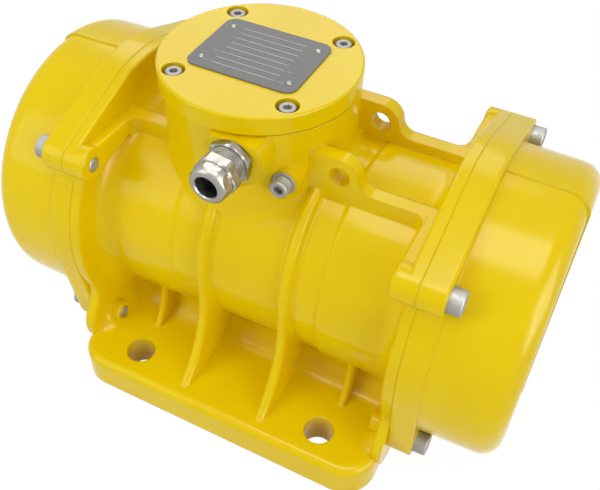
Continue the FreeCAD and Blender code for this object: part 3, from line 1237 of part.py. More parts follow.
def main():
    os.makedirs("parts", exist_ok=True)
    save("motor_housing", motor_housing())
    save("terminal_cover", terminal_cover())
    save("terminal_gasket", terminal_gasket())
    save("terminal_cover_screws", terminal_cover_screws())
    save("terminal_cover_washers", terminal_cover_washers())
    save("nameplate", nameplate())
    save("nameplate_rivets", nameplate_rivets())
    save("gland_body", gland_body())
    save("gland_nut", gland_nut())
    save("gland_seal", gland_seal())
    save("gland_ring", gland_ring())
    save("earth_screw", earth_screw())
    save("earth_washer", earth_washer())
    save("terminal_board", terminal_board())
    save("terminal_studs", terminal_studs())
    save("terminal_nuts", terminal_nuts())
    save("board_screws", board_screws())
    save("stator_core", stator_core())
    save("stator_winding", stator_winding())
    save("rotor_core", rotor_core())
    save("rotor_cage", rotor_cage())
    save("shaft", shaft())
    save("cover_screws", cover_screws())
    save("shield_screws", shield_screws())
    for end, side in (("left", LEFT), ("right", RIGHT)):
        save("end_cover_" + end, side_of(end_cover(), side))
        save("cover_ring_" + end, side_of(cover_ring(), side))
        save("bearing_shield_" + end, side_of(bearing_shield(), side))
        save("bearing_cap_" + end, side_of(bearing_cap(), side))
        save("bearing_outer_" + end, side_of(bearing_outer(), side))
        save("bearing_inner_" + end, side_of(bearing_inner(), side))
        save("bearing_rollers_" + end, [side_of(r, side) for r in bearing_rollers()])
        save("bearing_cage_" + end, side_of(bearing_cage(), side))
        save("fixed_weight_" + end, side_of(weight(fixed_x(), True), side))
        save("fixed_clamp_screw_" + end, side_of(clamp_screw(fixed_x()), side))
        save("adjust_weight_" + end, side_of(weight(adjust_x(), False), side))
        save("adjust_clamp_screw_" + end, side_of(clamp_screw(adjust_x()), side))
        save("weight_key_" + end, side_of(weight_key(), side))
        save("retainer_" + end, side_of(retainer(), side))


main()
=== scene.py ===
import math

import bmesh
import bpy
from mathutils import Matrix, Vector


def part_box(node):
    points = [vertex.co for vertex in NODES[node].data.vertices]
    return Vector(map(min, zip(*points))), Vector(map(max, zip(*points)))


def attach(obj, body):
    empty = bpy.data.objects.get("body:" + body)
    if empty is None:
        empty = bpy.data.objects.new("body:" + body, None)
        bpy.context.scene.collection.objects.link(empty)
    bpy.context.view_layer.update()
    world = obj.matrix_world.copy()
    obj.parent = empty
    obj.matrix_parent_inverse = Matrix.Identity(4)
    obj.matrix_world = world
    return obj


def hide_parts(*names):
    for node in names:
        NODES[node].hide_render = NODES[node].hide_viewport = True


bl_info = {
    "name": "Vibration motor dress",
    "version": (1, 0, 0),
    "blender": (4, 5, 0),
    "location": "3D View > Sidebar > Motor",
    "description": "Paint, metal, fasteners and plate of a foot-mounted vibration motor, and its studio",
    "category": "Object",
}

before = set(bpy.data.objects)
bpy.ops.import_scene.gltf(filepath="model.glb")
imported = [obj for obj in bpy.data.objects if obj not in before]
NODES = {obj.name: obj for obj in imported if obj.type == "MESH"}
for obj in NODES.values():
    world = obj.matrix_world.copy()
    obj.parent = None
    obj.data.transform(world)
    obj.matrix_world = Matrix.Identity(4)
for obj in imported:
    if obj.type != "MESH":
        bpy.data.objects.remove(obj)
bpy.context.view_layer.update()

MM = 0.001


# Places taken from the solids, in millimetres

def tenths(metres):
    """A place of the frame in millimetres, rounded to a tenth."""
    return round(metres / MM, 1)


def lowest(name):
    """Lowest corner of a CAD node's box."""
    return [tenths(value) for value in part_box(name)[0]]


def highest(name):
    """Highest corner of a CAD node's box."""
    return [tenths(value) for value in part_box(name)[1]]


def middle(name):
    """Middle of a CAD node's box."""
    low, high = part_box(name)
    return [tenths((a + b) / 2) for a, b in zip(low, high)]


SEAM_X = lowest("end_cover_right")[0]
AXIS_Z = middle("cover_screws")[2]
LID_X = middle("terminal_cover")[0]
LID_SCREW_SEAT_Z = highest("terminal_cover_washers")[2]
PLATE_X = middle("nameplate")[0]
PLATE_TOP_Z = highest("nameplate")[2]
EARTH_SCREW_SEAT = (middle("earth_washer")[0], lowest("earth_washer")[1], middle("earth_washer")[2])
GLAND_FOOT = (middle("gland_ring")[0], highest("gland_ring")[1], middle("gland_ring")[2])


# Sizes that the solids don't tell, in millimetres and degrees

COVER_SCREW_SEAT_OUT = 13.0
COVER_SCREW_BITE = 13.7
COVER_SCREW_CIRCLE = 90.0
COVER_SCREW_ANGLE = 48.5
COVER_THREAD_RADIUS = 4.0

LID_SCREW_OFFSET = 31.94
LID_SCREW_HEAD_HEIGHT = 4.8
LID_SCREW_REACH = 21.0
LID_THREAD_RADIUS = 2.5
LID_SCREW_KNURLS = 30

EARTH_SCREW_HEAD_HEIGHT = 6.0
EARTH_SCREW_KEY = 5.0
EARTH_SCREW_REACH = 10.0
EARTH_THREAD_RADIUS = 3.0
EARTH_SCREW_KNURLS = 32

RIVET_OFFSET_X = 25.0
RIVET_OFFSET_Y = 16.3
RIVET_HEIGHT = 0.78

ROW_LENGTH = 36.0
ROW_WIDTH = 0.3
ROWS_DEPTH = 35.0
ROWS_START_Y = -18.0
TICK_LENGTH = 3.0
TICK_WIDTH = 0.22
TICK_OFFSET_X = 21.6
TICK_PITCH = 10.0
PRINT_HEIGHT = 0.2

GLAND_ACROSS = 21.2
GLAND_SEGMENTS = 96
GLAND_BODY_TURN = -8.0
GLAND_NUT_TURN = 22.0
GLAND_SMOOTH_ANGLE = 12.0

CAMERA_AZIMUTH = 25.40
CAMERA_ELEVATION = 45.49
CAMERA_ROLL = 2.00
CAMERA_TARGET = (8.54, -9.69, 77.79)
CAMERA_DISTANCE = 476.28
CAMERA_SENSOR = 36.0
LAMP_TARGET = (0, 0, 90)

UP = (0, 0, 1)
FRONT = (0, -1, 0)
LEFT = (-1, 0, 0)
RIGHT = (1, 0, 0)

WHITE = (1, 1, 1, 1)
LARGEST_TURN = 6.28  # radians, just under one turn


# Sizes and colours that a user would change

def length(name, text, default):
    """A length in millimetres."""
    return bpy.props.FloatProperty(name=name, description=text, default=default, min=0.0, unit="NONE")


def watts(name, text, default):
    """A lamp's power."""
    return bpy.props.FloatProperty(name=name, description=text, default=default, min=0.0)


def colour(name, text, default):
    """A colour without transparency."""
    return bpy.props.FloatVectorProperty(name=name, description=text, default=default, size=3,
                                         subtype="COLOR", min=0.0, max=1.0)


class PaintSettings(bpy.types.PropertyGroup):
    """The paint on the castings"""
    yellow: colour("Yellow", "Colour of the paint on the castings", (0.86, 0.63, 0.0))
    deep: colour("Deep yellow", "Colour where the paint lies thick", (0.82, 0.58, 0.0))
    gloss: bpy.props.FloatProperty(name="Roughness", description="Roughness of the paint film",
                                   default=0.16, min=0.0, max=1.0, subtype="FACTOR")
    soft_edge: length("Soft edge", "Radius by which the paint rounds inner and outer edges, mm", 1.6)
    peel: length("Orange peel", "Height of the paint film's ripple, mm", 0.012)


class FastenerSettings(bpy.types.PropertyGroup):
    """The heads of the screws and rivets"""
    head_radius: length("Cover screw head", "Radius of the M8 heads on the end covers, mm", 6.5)
    head_height: length("Cover screw height", "Height of the M8 heads, mm", 7.6)
    key_size: length("Cover screw key", "Width across the flats of the M8 sockets, mm", 6.0)
    lid_head_radius: length("Lid screw head", "Radius of the heads in the lid, mm", 4.4)
    lid_key_size: length("Lid screw key", "Width across the flats of the lid's sockets, mm", 4.0)
    earth_head_radius: length("Earth screw head", "Radius of the earth screw's head, mm", 5.0)
    rivet_radius: length("Rivet head", "Radius of the nameplate's rivets, mm", 1.7)
    seed: bpy.props.IntProperty(name="Seed", description="Turns the screw sockets at random",
                                default=4)


class PlateSettings(bpy.types.PropertyGroup):
    """The blank nameplate"""
    base: colour("Plate", "Colour of the nameplate's ground", (0.15, 0.148, 0.146))
    line: colour("Lines", "Colour of the bare metal lines", (0.24, 0.24, 0.23))
    rows: bpy.props.IntProperty(name="Rows", description="Number of ruled rows on the blank plate",
                                default=8, min=1)


class StudioSettings(bpy.types.PropertyGroup):
    """The camera, the lamps and the floor"""
    lens: bpy.props.FloatProperty(name="Lens", description="Focal length of the camera",
                                  default=48.289, min=1.0, unit="CAMERA")
    key_power: watts("Mirrored boxes", "Power of the boxes the paint mirrors, W", 14.5)
    fill_power: watts("Fill boxes", "Power of the two side boxes and the sky box, W", 6.0)
    floor: colour("Floor", "Colour of the floor", (0.75, 0.75, 0.75))


SETTINGS = (("motor_paint", PaintSettings), ("motor_fasteners", FastenerSettings),
            ("motor_plate", PlateSettings), ("motor_studio", StudioSettings))


# Materials. Noise scales are ripples to the metre, and heights are in millimetres

def node(tree, kind, inputs=None, **settings):
    """Adds a node; an input takes a value or another node's output."""
    made = tree.nodes.new(kind)
    for key, value in settings.items():
        setattr(made, key, value)
    for key, value in (inputs or {}).items():
        feed(tree, made.inputs[key], value)
    return made


def feed(tree, entry, value):
    """Links an input to another node's output, or sets it to a value."""
    if isinstance(value, bpy.types.NodeSocket):
        tree.links.new(value, entry)
    else:
        entry.default_value = value


def new_material(name, **sockets):
    """A material with one Principled shader, its node tree, and that shader."""
    material = bpy.data.materials.new(name)
    material.use_nodes = True
    tree = material.node_tree
    shader = tree.nodes["Principled BSDF"]
    for key, value in sockets.items():
        shader.inputs[key.replace("_", " ")].default_value = value
    return material, tree, shader


def rgba(values, factor=1.0):
    """A colour, brighter or darker by a factor."""
    return (values[0] * factor, values[1] * factor, values[2] * factor, 1.0)


def object_place(tree, stretch=None):
    """Object coordinates, stretched where turning or brushing leaves a grain."""
    spot = node(tree, "ShaderNodeTexCoord").outputs["Object"]
    if stretch:
        spot = node(tree, "ShaderNodeMapping", {"Vector": spot, "Scale": stretch}).outputs["Vector"]
    return spot


def noise(tree, scale, detail=2.0, roughness=0.5, stretch=None):
    """Noise on Object coordinates."""
    return node(tree, "ShaderNodeTexNoise", {"Vector": object_place(tree, stretch), "Scale": scale,
                                             "Detail": detail, "Roughness": roughness}).outputs["Fac"]


def wave(tree, scale, distortion, detail, direction):
    """Bands on Object coordinates."""
    return node(tree, "ShaderNodeTexWave", {"Vector": object_place(tree), "Scale": scale,
                                            "Distortion": distortion, "Detail": detail},
                bands_direction=direction).outputs["Fac"]


def spread(tree, value, low=0.0, high=1.0, start=0.3, end=0.7):
    """Maps the middle part of a noise value to a range."""
    return node(tree, "ShaderNodeMapRange", {"Value": value, "From Min": start, "From Max": end,
                                             "To Min": low, "To Max": high}).outputs["Result"]


def blend_colours(tree, factor, first, second):
    """Goes from the first colour to the second as the factor goes from 0 to 1."""
    mix = node(tree, "ShaderNodeMix", data_type="RGBA")
    feed(tree, mix.inputs["Factor"], factor)
    feed(tree, mix.inputs[6], first)
    feed(tree, mix.inputs[7], second)
    return mix.outputs[2]


def bump(tree, height, distance, strength=1.0, normal=None):
    """Relief over the surface, or over another relief."""
    inputs = {"Height": height, "Distance": distance * MM, "Strength": strength}
    if normal is not None:
        inputs["Normal"] = normal
    return node(tree, "ShaderNodeBump", inputs).outputs["Normal"]


def surface(tree, shader, shade, roughness, normal):
    """Feeds the three inputs that vary over every surface."""
    feed(tree, shader.inputs["Base Color"], shade)
    feed(tree, shader.inputs["Roughness"], roughness)
    feed(tree, shader.inputs["Normal"], normal)


def casting_paint(name, settings, soften=True):
    """Glossy paint on a sand casting: soft edges, orange peel, faint waves and a little dirt."""
    material, tree, shader = new_material(name, Specular_IOR_Level=0.14)
    waves = noise(tree, scale=55.0)
    peel = noise(tree, scale=620.0)
    patches = noise(tree, scale=21.0, detail=3.0)
    shade = blend_colours(tree, spread(tree, patches), rgba(settings.yellow), rgba(settings.deep))
    dirt = spread(tree, noise(tree, scale=900.0), high=0.35, start=0.74, end=0.8)
    shade = blend_colours(tree, dirt, shade, rgba(settings.deep, 0.8))
    roughness = spread(tree, patches, settings.gloss - 0.03, settings.gloss + 0.05)
    edges = None
    if soften:
        bevel = node(tree, "ShaderNodeBevel", {"Radius": settings.soft_edge * MM}, samples=6)
        edges = bevel.outputs["Normal"]
    normal = bump(tree, waves, distance=0.35, strength=0.5, normal=edges)
    normal = bump(tree, peel, distance=settings.peel, normal=normal)
    surface(tree, shader, shade, roughness, normal)
    return material


def metal(name, colour_value, roughness, grain=400.0, stretch=None, mottle=0.12, relief=0.01,
          metallic=1.0):
    """Bare or plated metal. Mottle is how much darker its cloudy patches are."""
    material, tree, shader = new_material(name, Metallic=metallic)
    fine = noise(tree, grain, detail=3.0, stretch=stretch)
    clouds = spread(tree, noise(tree, scale=90.0, detail=3.0))
    shade = blend_colours(tree, clouds, rgba(colour_value), rgba(colour_value, 1.0 - mottle))
    varied = spread(tree, fine, roughness * 0.8, roughness * 1.25)
    surface(tree, shader, shade, varied, bump(tree, fine, relief))
    return material


def dull(name, colour_value, roughness):
    """Rubber, moulded board or another surface without gloss."""
    material, tree, shader = new_material(name)
    fine = noise(tree, scale=500.0, detail=4.0, roughness=0.6)
    shade = blend_colours(tree, spread(tree, fine), rgba(colour_value), rgba(colour_value, 1.35))
    varied = spread(tree, fine, roughness - 0.08, roughness + 0.08)
    surface(tree, shader, shade, varied, bump(tree, fine, distance=0.03))
    return material


def laminated(name, colour_value, pitch):
    """Stacked steel sheets, seen as fine lines across the motor axis."""
    material, tree, shader = new_material(name, Metallic=1.0)
    lines = wave(tree, scale=1.0 / (pitch * MM) / math.pi, distortion=0.3, detail=2.0, direction="X")
    shade = blend_colours(tree, lines, rgba(colour_value, 0.6), rgba(colour_value))
    roughness = spread(tree, noise(tree, scale=300.0), low=0.4, high=0.6)
    surface(tree, shader, shade, roughness, bump(tree, lines, distance=0.05))
    return material


def wound_copper(name, colour_value):
    """Varnished wire in loose turns."""
    material, tree, shader = new_material(name, Metallic=0.75, Coat_Weight=0.5, Coat_Roughness=0.2)
    turns = wave(tree, scale=220.0, distortion=3.0, detail=1.0, direction="DIAGONAL")
    shade = blend_colours(tree, turns, rgba(colour_value, 0.45), rgba(colour_value))
    roughness = spread(tree, noise(tree, scale=500.0), low=0.3, high=0.45)
    surface(tree, shader, shade, roughness, bump(tree, turns, distance=0.25))
    return material


def plate_grey(settings):
    """The nameplate's dark ground, brushed along its length."""
    material, tree, shader = new_material("plate_grey", Metallic=0.1, Specular_IOR_Level=0.1)
    grain = noise(tree, scale=2500.0, stretch=(0.06, 1.0, 1.0))
    shade = blend_colours(tree, spread(tree, grain), rgba(settings.base), rgba(settings.base, 1.25))
    roughness = spread(tree, grain, low=0.34, high=0.5)
    surface(tree, shader, shade, roughness, bump(tree, grain, distance=0.006))
    return material


def shared_finishes():
    """The finishes that several operators use."""
    return {
        "zinc": metal("zinc_steel", (0.38, 0.37, 0.35), roughness=0.56, grain=800.0, mottle=0.1,
                      metallic=0.6),
        "dark_zinc": metal("dark_zinc", (0.34, 0.33, 0.31), roughness=0.6, grain=800.0, metallic=0.6),
        "rubber": dull("black_rubber", (0.018, 0.018, 0.019), roughness=0.62),
        "rivet": metal("rivet_metal", (0.24, 0.24, 0.21), roughness=0.35, grain=900.0),
    }


def dress(names, material):
    """Gives CAD nodes a material in each of their slots."""
    for name in names:
        slots = NODES[name].material_slots
        for slot in slots:
            slot.material = material
        if not slots:
            NODES[name].data.materials.append(material)


def both(*names):
    """The left and right node of each name."""
    return [name + end for name in names for end in ("_left", "_right")]


# Mesh helpers, in millimetres along a local Z

def into_scene(name, data):
    """Links a new object that holds a mesh, a lamp or a camera."""
    made = bpy.data.objects.new(name, data)
    bpy.context.scene.collection.objects.link(made)
    return made


def to_object(name, mesh, material, smooth_angle=35.0):
    """Turns a mesh into an object at the origin, smooth except at sharp edges."""
    mesh.shade_smooth()
    mesh.set_sharp_from_angle(angle=math.radians(smooth_angle))
    mesh.materials.clear()
    mesh.materials.append(material)
    return into_scene(name, mesh)


def hexagon_radius(across, angle):
    """Distance from the middle to a hexagon's side in that direction."""
    turn = math.radians(60.0)
    return across / 2 / math.cos((angle + turn / 2) % turn - turn / 2)


def ring_points(z, radius, segments, across=None):
    """One ring: round, hexagonal, or a hexagon whose corners are turned off at the radius."""
    points = []
    for i in range(segments):
        angle = 2 * math.pi * i / segments
        reach = radius
        if across:
            reach = min(radius, hexagon_radius(across, angle))
        points.append(Vector((reach * math.cos(angle), reach * math.sin(angle), z)))
    return points


def closed_mesh(name, rings, tube=False):
    """Skins a row of rings. A fan closes each end, or in a tube the last ring joins the first."""
    shape = bmesh.new()
    loops = [[shape.verts.new(p * MM) for p in ring] for ring in rings]
    count = len(rings[0])
    pairs = list(zip(loops, loops[1:]))
    if tube:
        pairs.append((loops[-1], loops[0]))
    for low, high in pairs:
        for i in range(count):
            j = (i + 1) % count
            shape.faces.new((low[i], low[j], high[j], high[i]))
    if not tube:
        for loop, ring in ((loops[0], rings[0]), (loops[-1], rings[-1])):
            centre = shape.verts.new(sum(ring, Vector()) / count * MM)
            for i in range(count):
                shape.faces.new((loop[i], loop[(i + 1) % count], centre))
    bmesh.ops.recalc_face_normals(shape, faces=shape.faces)
    return to_mesh(name, shape)


def to_mesh(name, shape):
    """Ends work on a shape and returns it as a mesh."""
    mesh = bpy.data.meshes.new(name)
    shape.to_mesh(mesh)
    shape.free()
    return mesh


def joined_mesh(name, meshes):
    """One mesh in place of several."""
    shape = bmesh.new()
    for mesh in meshes:
        shape.from_mesh(mesh)
        bpy.data.meshes.remove(mesh)
    return to_mesh(name, shape)


def place(mesh, base, direction):
    """Moves a mesh drawn along Z to a point, in millimetres, and a direction."""
    turn = Vector(direction).to_track_quat("Z", "Y").to_matrix().to_4x4()
    mesh.transform(Matrix.Translation(Vector(base) * MM) @ turn)


def socket_screw_mesh(name, head, height, key, thread, reach, knurls=36):
    """Socket-head screw: knurled head, hexagon socket and cut thread, with its seat at z 0."""
    segments = knurls * 2
    knurl_depth = 0.16
    pitch = 1.0
    flank = 0.45
    cut_length = min(reach - 1.0, 14.0)
    corner = key / math.sqrt(3)
    socket_floor = height * 0.45

    def ring(z, radius, across=None):
        return ring_points(z, radius, segments, across)

    def knurled(z):
        points = ring(z, head)
        for i in range(0, segments, 2):
            points[i] *= (head - knurl_depth) / head
            points[i].z = z
        return points

    # The tip's cone, the cut thread and the plain shank
    rings = [ring(-reach, thread - 0.9)]
    z = -reach + 0.7
    while z < -reach + cut_length:
        rings += [ring(z, thread), ring(z + flank, thread - flank)]
        z += pitch
    rings += [ring(z, thread), ring(0.0, thread)]

    # The head with its knurls and rounded rim
    rings += [ring(0.0, head - 0.25), ring(0.25, head), knurled(0.7), knurled(height - 1.3),
              ring(height - 0.95, head), ring(height - 0.4, head - 0.14),
              ring(height - 0.12, head - 0.42), ring(height, head - 0.85)]

    # The socket with its countersink and drilled floor
    rings += [ring(height, corner + 0.25), ring(height - 0.3, corner, key),
              ring(socket_floor, corner, key), ring(socket_floor - 0.4, key * 0.18)]
    return closed_mesh(name, rings)


def rivet_mesh(name, radius, height):
    """Domed rivet head with its shank's stub under it."""
    segments = 32
    steps = 6
    shank = radius * 0.6
    rim = height * 0.15
    rings = [ring_points(-1.0, shank, segments), ring_points(0.0, shank, segments),
             ring_points(0.0, radius, segments), ring_points(rim, radius, segments)]
    for step in range(1, steps):
        lean = math.radians(90 * step / steps)
        z = rim + (height - rim) * math.sin(lean)
        rings.append(ring_points(z, radius * math.cos(lean), segments))
    return closed_mesh(name, rings)


def gland_ring_points(z, radius, across=None):
    """One of the gland's rings, fine enough for its dome."""
    return ring_points(z, radius, GLAND_SEGMENTS, across)


def gland_body_mesh():
    """The body: a tube into the boss, a thin hexagon on it, and the thread that the nut runs on."""
    ring = gland_ring_points
    inside = 10.0
    bore = 7.6
    stem = 9.2
    corner = 12.2
    flat = GLAND_ACROSS / 2
    hexagon_foot = 1.0
    hexagon_top = 4.7
    top = 11.2
    turns = 5
    pitch = 1.25
    # Rise and radius of the rings in one turn of the thread
    one_turn = ((0.0, 9.3), (0.3, 9.8), (0.6, 9.8), (0.9, 9.2), (1.15, 9.2))
    rings = [ring(-inside, bore), ring(-inside, stem), ring(hexagon_foot, stem + 0.2),
             ring(hexagon_foot, corner - 0.5, GLAND_ACROSS),
             ring(hexagon_foot + 0.4, corner, GLAND_ACROSS),
             ring(hexagon_top - 0.8, corner, GLAND_ACROSS),
             ring(hexagon_top, flat - 0.2, GLAND_ACROSS), ring(hexagon_top, 9.7)]
    for turn in range(turns):
        start = hexagon_top + 0.2 + turn * pitch
        rings += [ring(start + rise, radius) for rise, radius in one_turn]
    rings += [ring(top, 9.0), ring(top, bore)]
    return closed_mesh("gland_body_shape", rings, tube=True)


def gland_nut_mesh():
    """The nut: its hexagon, a groove, and the dome that the same six sides still touch."""
    ring = gland_ring_points
    foot = 11.2
    hexagon_top = 17.4
    corner = 11.8
    flat = GLAND_ACROSS / 2
    groove = 10.0
    touched = GLAND_ACROSS - 1.7
    dome_foot = 20.4
    dome_rise = 4.3
    dome_reach = 3.4
    mouth = 7.1
    top = 24.8
    steps = 12
    bore = 6.0
    thread = 9.6
    thread_end = 16.1
    rings = [ring(foot, thread), ring(foot, flat - 0.3, GLAND_ACROSS),
             ring(foot + 0.7, corner, GLAND_ACROSS), ring(hexagon_top - 0.7, corner, GLAND_ACROSS),
             ring(hexagon_top, flat - 0.1, GLAND_ACROSS),
             ring(hexagon_top + 0.1, groove), ring(hexagon_top + 0.5, groove),
             ring(hexagon_top + 0.7, 10.5, touched), ring(dome_foot - 1.0, 10.6, touched),
             ring(dome_foot, 10.5, touched)]
    for step in range(1, steps):
        lean = math.radians(90 * step / steps)
        rise = dome_rise * math.sin(lean)
        rings.append(ring(dome_foot + rise, mouth + dome_reach * math.cos(lean), touched))
    rings += [ring(top, mouth - 0.1), ring(top - 0.1, bore + 0.4), ring(top - 0.7, bore),
              ring(thread_end, bore), ring(thread_end, thread)]
    return closed_mesh("gland_nut_shape", rings, tube=True)


def gland_seal_mesh():
    """The rubber ring between the body's hexagon and the boss."""
    inner = 9.6
    outer = 10.5
    thickness = 1.0
    rings = [gland_ring_points(0.0, inner), gland_ring_points(0.0, outer),
             gland_ring_points(thickness, outer), gland_ring_points(thickness, inner)]
    return closed_mesh("gland_ring_shape", rings, tube=True)


# Geometry Nodes

def socket(group, name, kind, default=None):
    """Adds a named input to a tree."""
    made = group.interface.new_socket(name=name, in_out="INPUT", socket_type=kind)
    if default is not None:
        made.default_value = default


def new_group(name):
    """A tree that takes and gives geometry."""
    group = bpy.data.node_groups.new(name, "GeometryNodeTree")
    group.interface.new_socket(name="Geometry", in_out="INPUT", socket_type="NodeSocketGeometry")
    group.interface.new_socket(name="Geometry", in_out="OUTPUT", socket_type="NodeSocketGeometry")
    return group


def end_group(group, instances, material):
    """Every tree ends in Realize Instances and Set Material."""
    real = node(group, "GeometryNodeRealizeInstances", {"Geometry": instances})
    painted = node(group, "GeometryNodeSetMaterial", {"Geometry": real.outputs[0],
                                                      "Material": material})
    output = node(group, "NodeGroupOutput")
    group.links.new(painted.outputs[0], output.inputs[0])
    return group


def fastener_tree():
    """Puts one fastener on each point, along the point's stored direction and turned at random."""
    group = new_group("fastener_set")
    socket(group, "Fastener", "NodeSocketObject")
    socket(group, "Largest turn", "NodeSocketFloat", LARGEST_TURN)
    socket(group, "Seed", "NodeSocketInt", 0)
    socket(group, "Finish", "NodeSocketMaterial")
    inputs = node(group, "NodeGroupInput").outputs
    shape = node(group, "GeometryNodeObjectInfo", {"Object": inputs["Fastener"]},
                 transform_space="ORIGINAL")
    outward = node(group, "GeometryNodeInputNamedAttribute", {"Name": "outward"},
                   data_type="FLOAT_VECTOR")
    aim = node(group, "FunctionNodeAlignRotationToVector", {"Vector": outward.outputs["Attribute"]},
               axis="Z")
    # Inputs 2 and 3 are the lowest and highest turn, and output 1 is the turn drawn between them
    turn = node(group, "FunctionNodeRandomValue",
                {"Seed": inputs["Seed"], 2: 0.0, 3: inputs["Largest turn"]}, data_type="FLOAT")
    spin = node(group, "FunctionNodeAxisAngleToRotation", {"Axis": UP, "Angle": turn.outputs[1]})
    put = node(group, "GeometryNodeInstanceOnPoints", {"Points": inputs["Geometry"],
                                                       "Instance": shape.outputs["Geometry"],
                                                       "Rotation": aim.outputs[0]})
    turned = node(group, "GeometryNodeRotateInstances", {"Instances": put.outputs[0],
                                                         "Rotation": spin.outputs[0]})
    return end_group(group, turned.outputs[0], inputs["Finish"])


def ruled_tree():
    """Thin raised lines, one under the other, for the blank form on the nameplate."""
    group = new_group("ruled_lines")
    for name, default in (("Length", 0.05), ("Width", 0.0003), ("Height", 0.0001), ("Pitch", 0.004)):
        socket(group, name, "NodeSocketFloat", default)
    socket(group, "Rows", "NodeSocketInt", 8)
    socket(group, "Finish", "NodeSocketMaterial")
    inputs = node(group, "NodeGroupInput").outputs
    step = node(group, "ShaderNodeCombineXYZ", {"Y": inputs["Pitch"]})
    line = node(group, "GeometryNodeMeshLine", {"Count": inputs["Rows"], "Offset": step.outputs[0]})
    size = node(group, "ShaderNodeCombineXYZ", {"X": inputs["Length"], "Y": inputs["Width"],
                                                "Z": inputs["Height"]})
    bar = node(group, "GeometryNodeMeshCube", {"Size": size.outputs[0]})
    rows = node(group, "GeometryNodeInstanceOnPoints", {"Points": line.outputs[0],
                                                        "Instance": bar.outputs[0]})
    put = node(group, "GeometryNodeInstanceOnPoints", {"Points": inputs["Geometry"],
                                                       "Instance": rows.outputs[0]})
    return end_group(group, put.outputs[0], inputs["Finish"])


def grow(name, group, points, values, directions=None):
    """Runs a tree on a few points, in millimetres, and returns the result as a plain mesh."""
    seeds = bpy.data.meshes.new(name + "_points")
    seeds.from_pydata([Vector(p) * MM for p in points], [], [])
    if directions:
        stored = seeds.attributes.new("outward", "FLOAT_VECTOR", "POINT")
        for i, direction in enumerate(directions):
            stored.data[i].vector = direction
    carrier = into_scene(name + "_carrier", seeds)
    modifier = carrier.modifiers.new(name, "NODES")
    modifier.node_group = group
    for item in group.interface.items_tree:
        if item.item_type == "SOCKET" and item.in_out == "INPUT" and item.name in values:
            modifier[item.identifier] = values[item.name]
    bpy.context.view_layer.update()
    ready = carrier.evaluated_get(bpy.context.evaluated_depsgraph_get())
    mesh = bpy.data.meshes.new_from_object(ready)
    mesh.name = name
    carrier.modifiers.clear()
    bpy.data.objects.remove(carrier)
    bpy.data.meshes.remove(seeds)
    return mesh


def fastener_set(name, shape, material, points, directions, seed):
    """One object that holds a fastener at each point."""
    pattern = into_scene(name + "_pattern", shape)
    mesh = grow(name, GROUPS["fasteners"], points,
                {"Fastener": pattern, "Largest turn": LARGEST_TURN, "Seed": seed, "Finish": material},
                directions)
    bpy.data.objects.remove(pattern)
    return to_object(name, mesh, material)


GROUPS = {}
FINISHES = {}


def cover_screw_points(x):
    """The four screws of an end cover."""
    angle = math.radians(COVER_SCREW_ANGLE)
    out = COVER_SCREW_CIRCLE * math.sin(angle)
    rise = COVER_SCREW_CIRCLE * math.cos(angle)
    return [(x, sy * out, AXIS_Z + sz * rise) for sy in (-1, 1) for sz in (-1, 1)]


def corner_points(offset_x, offset_y, middle_x, z):
    """Four points round the middle of the lid or the plate."""
    return [(middle_x + sx * offset_x, sy * offset_y, z) for sx in (-1, 1) for sy in (-1, 1)]


# Operators

class MOTOR_OT_castings(bpy.types.Operator):
    """Paint the housing, the end covers, and the terminal box lid with its gasket's edge"""
    bl_idname = "motor.castings"
    bl_label = "Painted castings"

    def execute(self, context):
        settings = context.scene.motor_paint
        dress(["motor_housing"] + both("end_cover"), casting_paint("yellow_paint", settings))
        dress(["terminal_cover", "terminal_gasket"], casting_paint("lid_paint", settings, soften=False))
        return {"FINISHED"}


class MOTOR_OT_inner_parts(bpy.types.Operator):
    """Finish the pieces inside the motor: core, winding, rotor, bearings, weights and terminals"""
    bl_idname = "motor.inner_parts"
    bl_label = "Inner pieces"

    def execute(self, context):
        dress(["stator_core", "rotor_core"], laminated("core_steel", (0.30, 0.30, 0.32), pitch=0.5))
        dress(["stator_winding"], wound_copper("copper_winding", (0.62, 0.24, 0.09)))
        dress(["rotor_cage"], metal("cage_aluminium", (0.72, 0.72, 0.74), roughness=0.4, mottle=0.2))
        dress(["shaft"] + both("weight_key", "retainer"),
              metal("turned_steel", (0.60, 0.60, 0.62), roughness=0.28, grain=900.0,
                    stretch=(6.0, 0.4, 0.4)))
        dress(both("bearing_shield", "bearing_cap"),
              metal("cast_iron", (0.18, 0.18, 0.19), roughness=0.6, grain=250.0, relief=0.08))
        dress(both("fixed_weight", "adjust_weight"),
              metal("weight_iron", (0.24, 0.24, 0.25), roughness=0.5, grain=300.0, relief=0.05))
        dress(both("bearing_outer", "bearing_inner", "bearing_rollers"),
              metal("bearing_steel", (0.70, 0.70, 0.72), roughness=0.14, grain=1200.0, relief=0.003))
        dress(both("bearing_cage"), metal("cage_brass", (0.74, 0.52, 0.20), roughness=0.3))
        dress(["board_screws", "shield_screws"] + both("fixed_clamp_screw", "adjust_clamp_screw"),
              metal("inner_screws", (0.16, 0.16, 0.17), roughness=0.38))
        dress(["terminal_board"], dull("board_plastic", (0.05, 0.035, 0.025), roughness=0.45))
        dress(["terminal_studs", "terminal_nuts"],
              metal("bare_brass", (0.78, 0.57, 0.22), roughness=0.25))
        return {"FINISHED"}


class MOTOR_OT_seals(bpy.types.Operator):
    """Finish the sealing rings of the end covers and the gland's rubber"""
    bl_idname = "motor.seals"
    bl_label = "Seals"

    def execute(self, context):
        dress(["gland_seal"] + both("cover_ring"), FINISHES["rubber"])
        return {"FINISHED"}


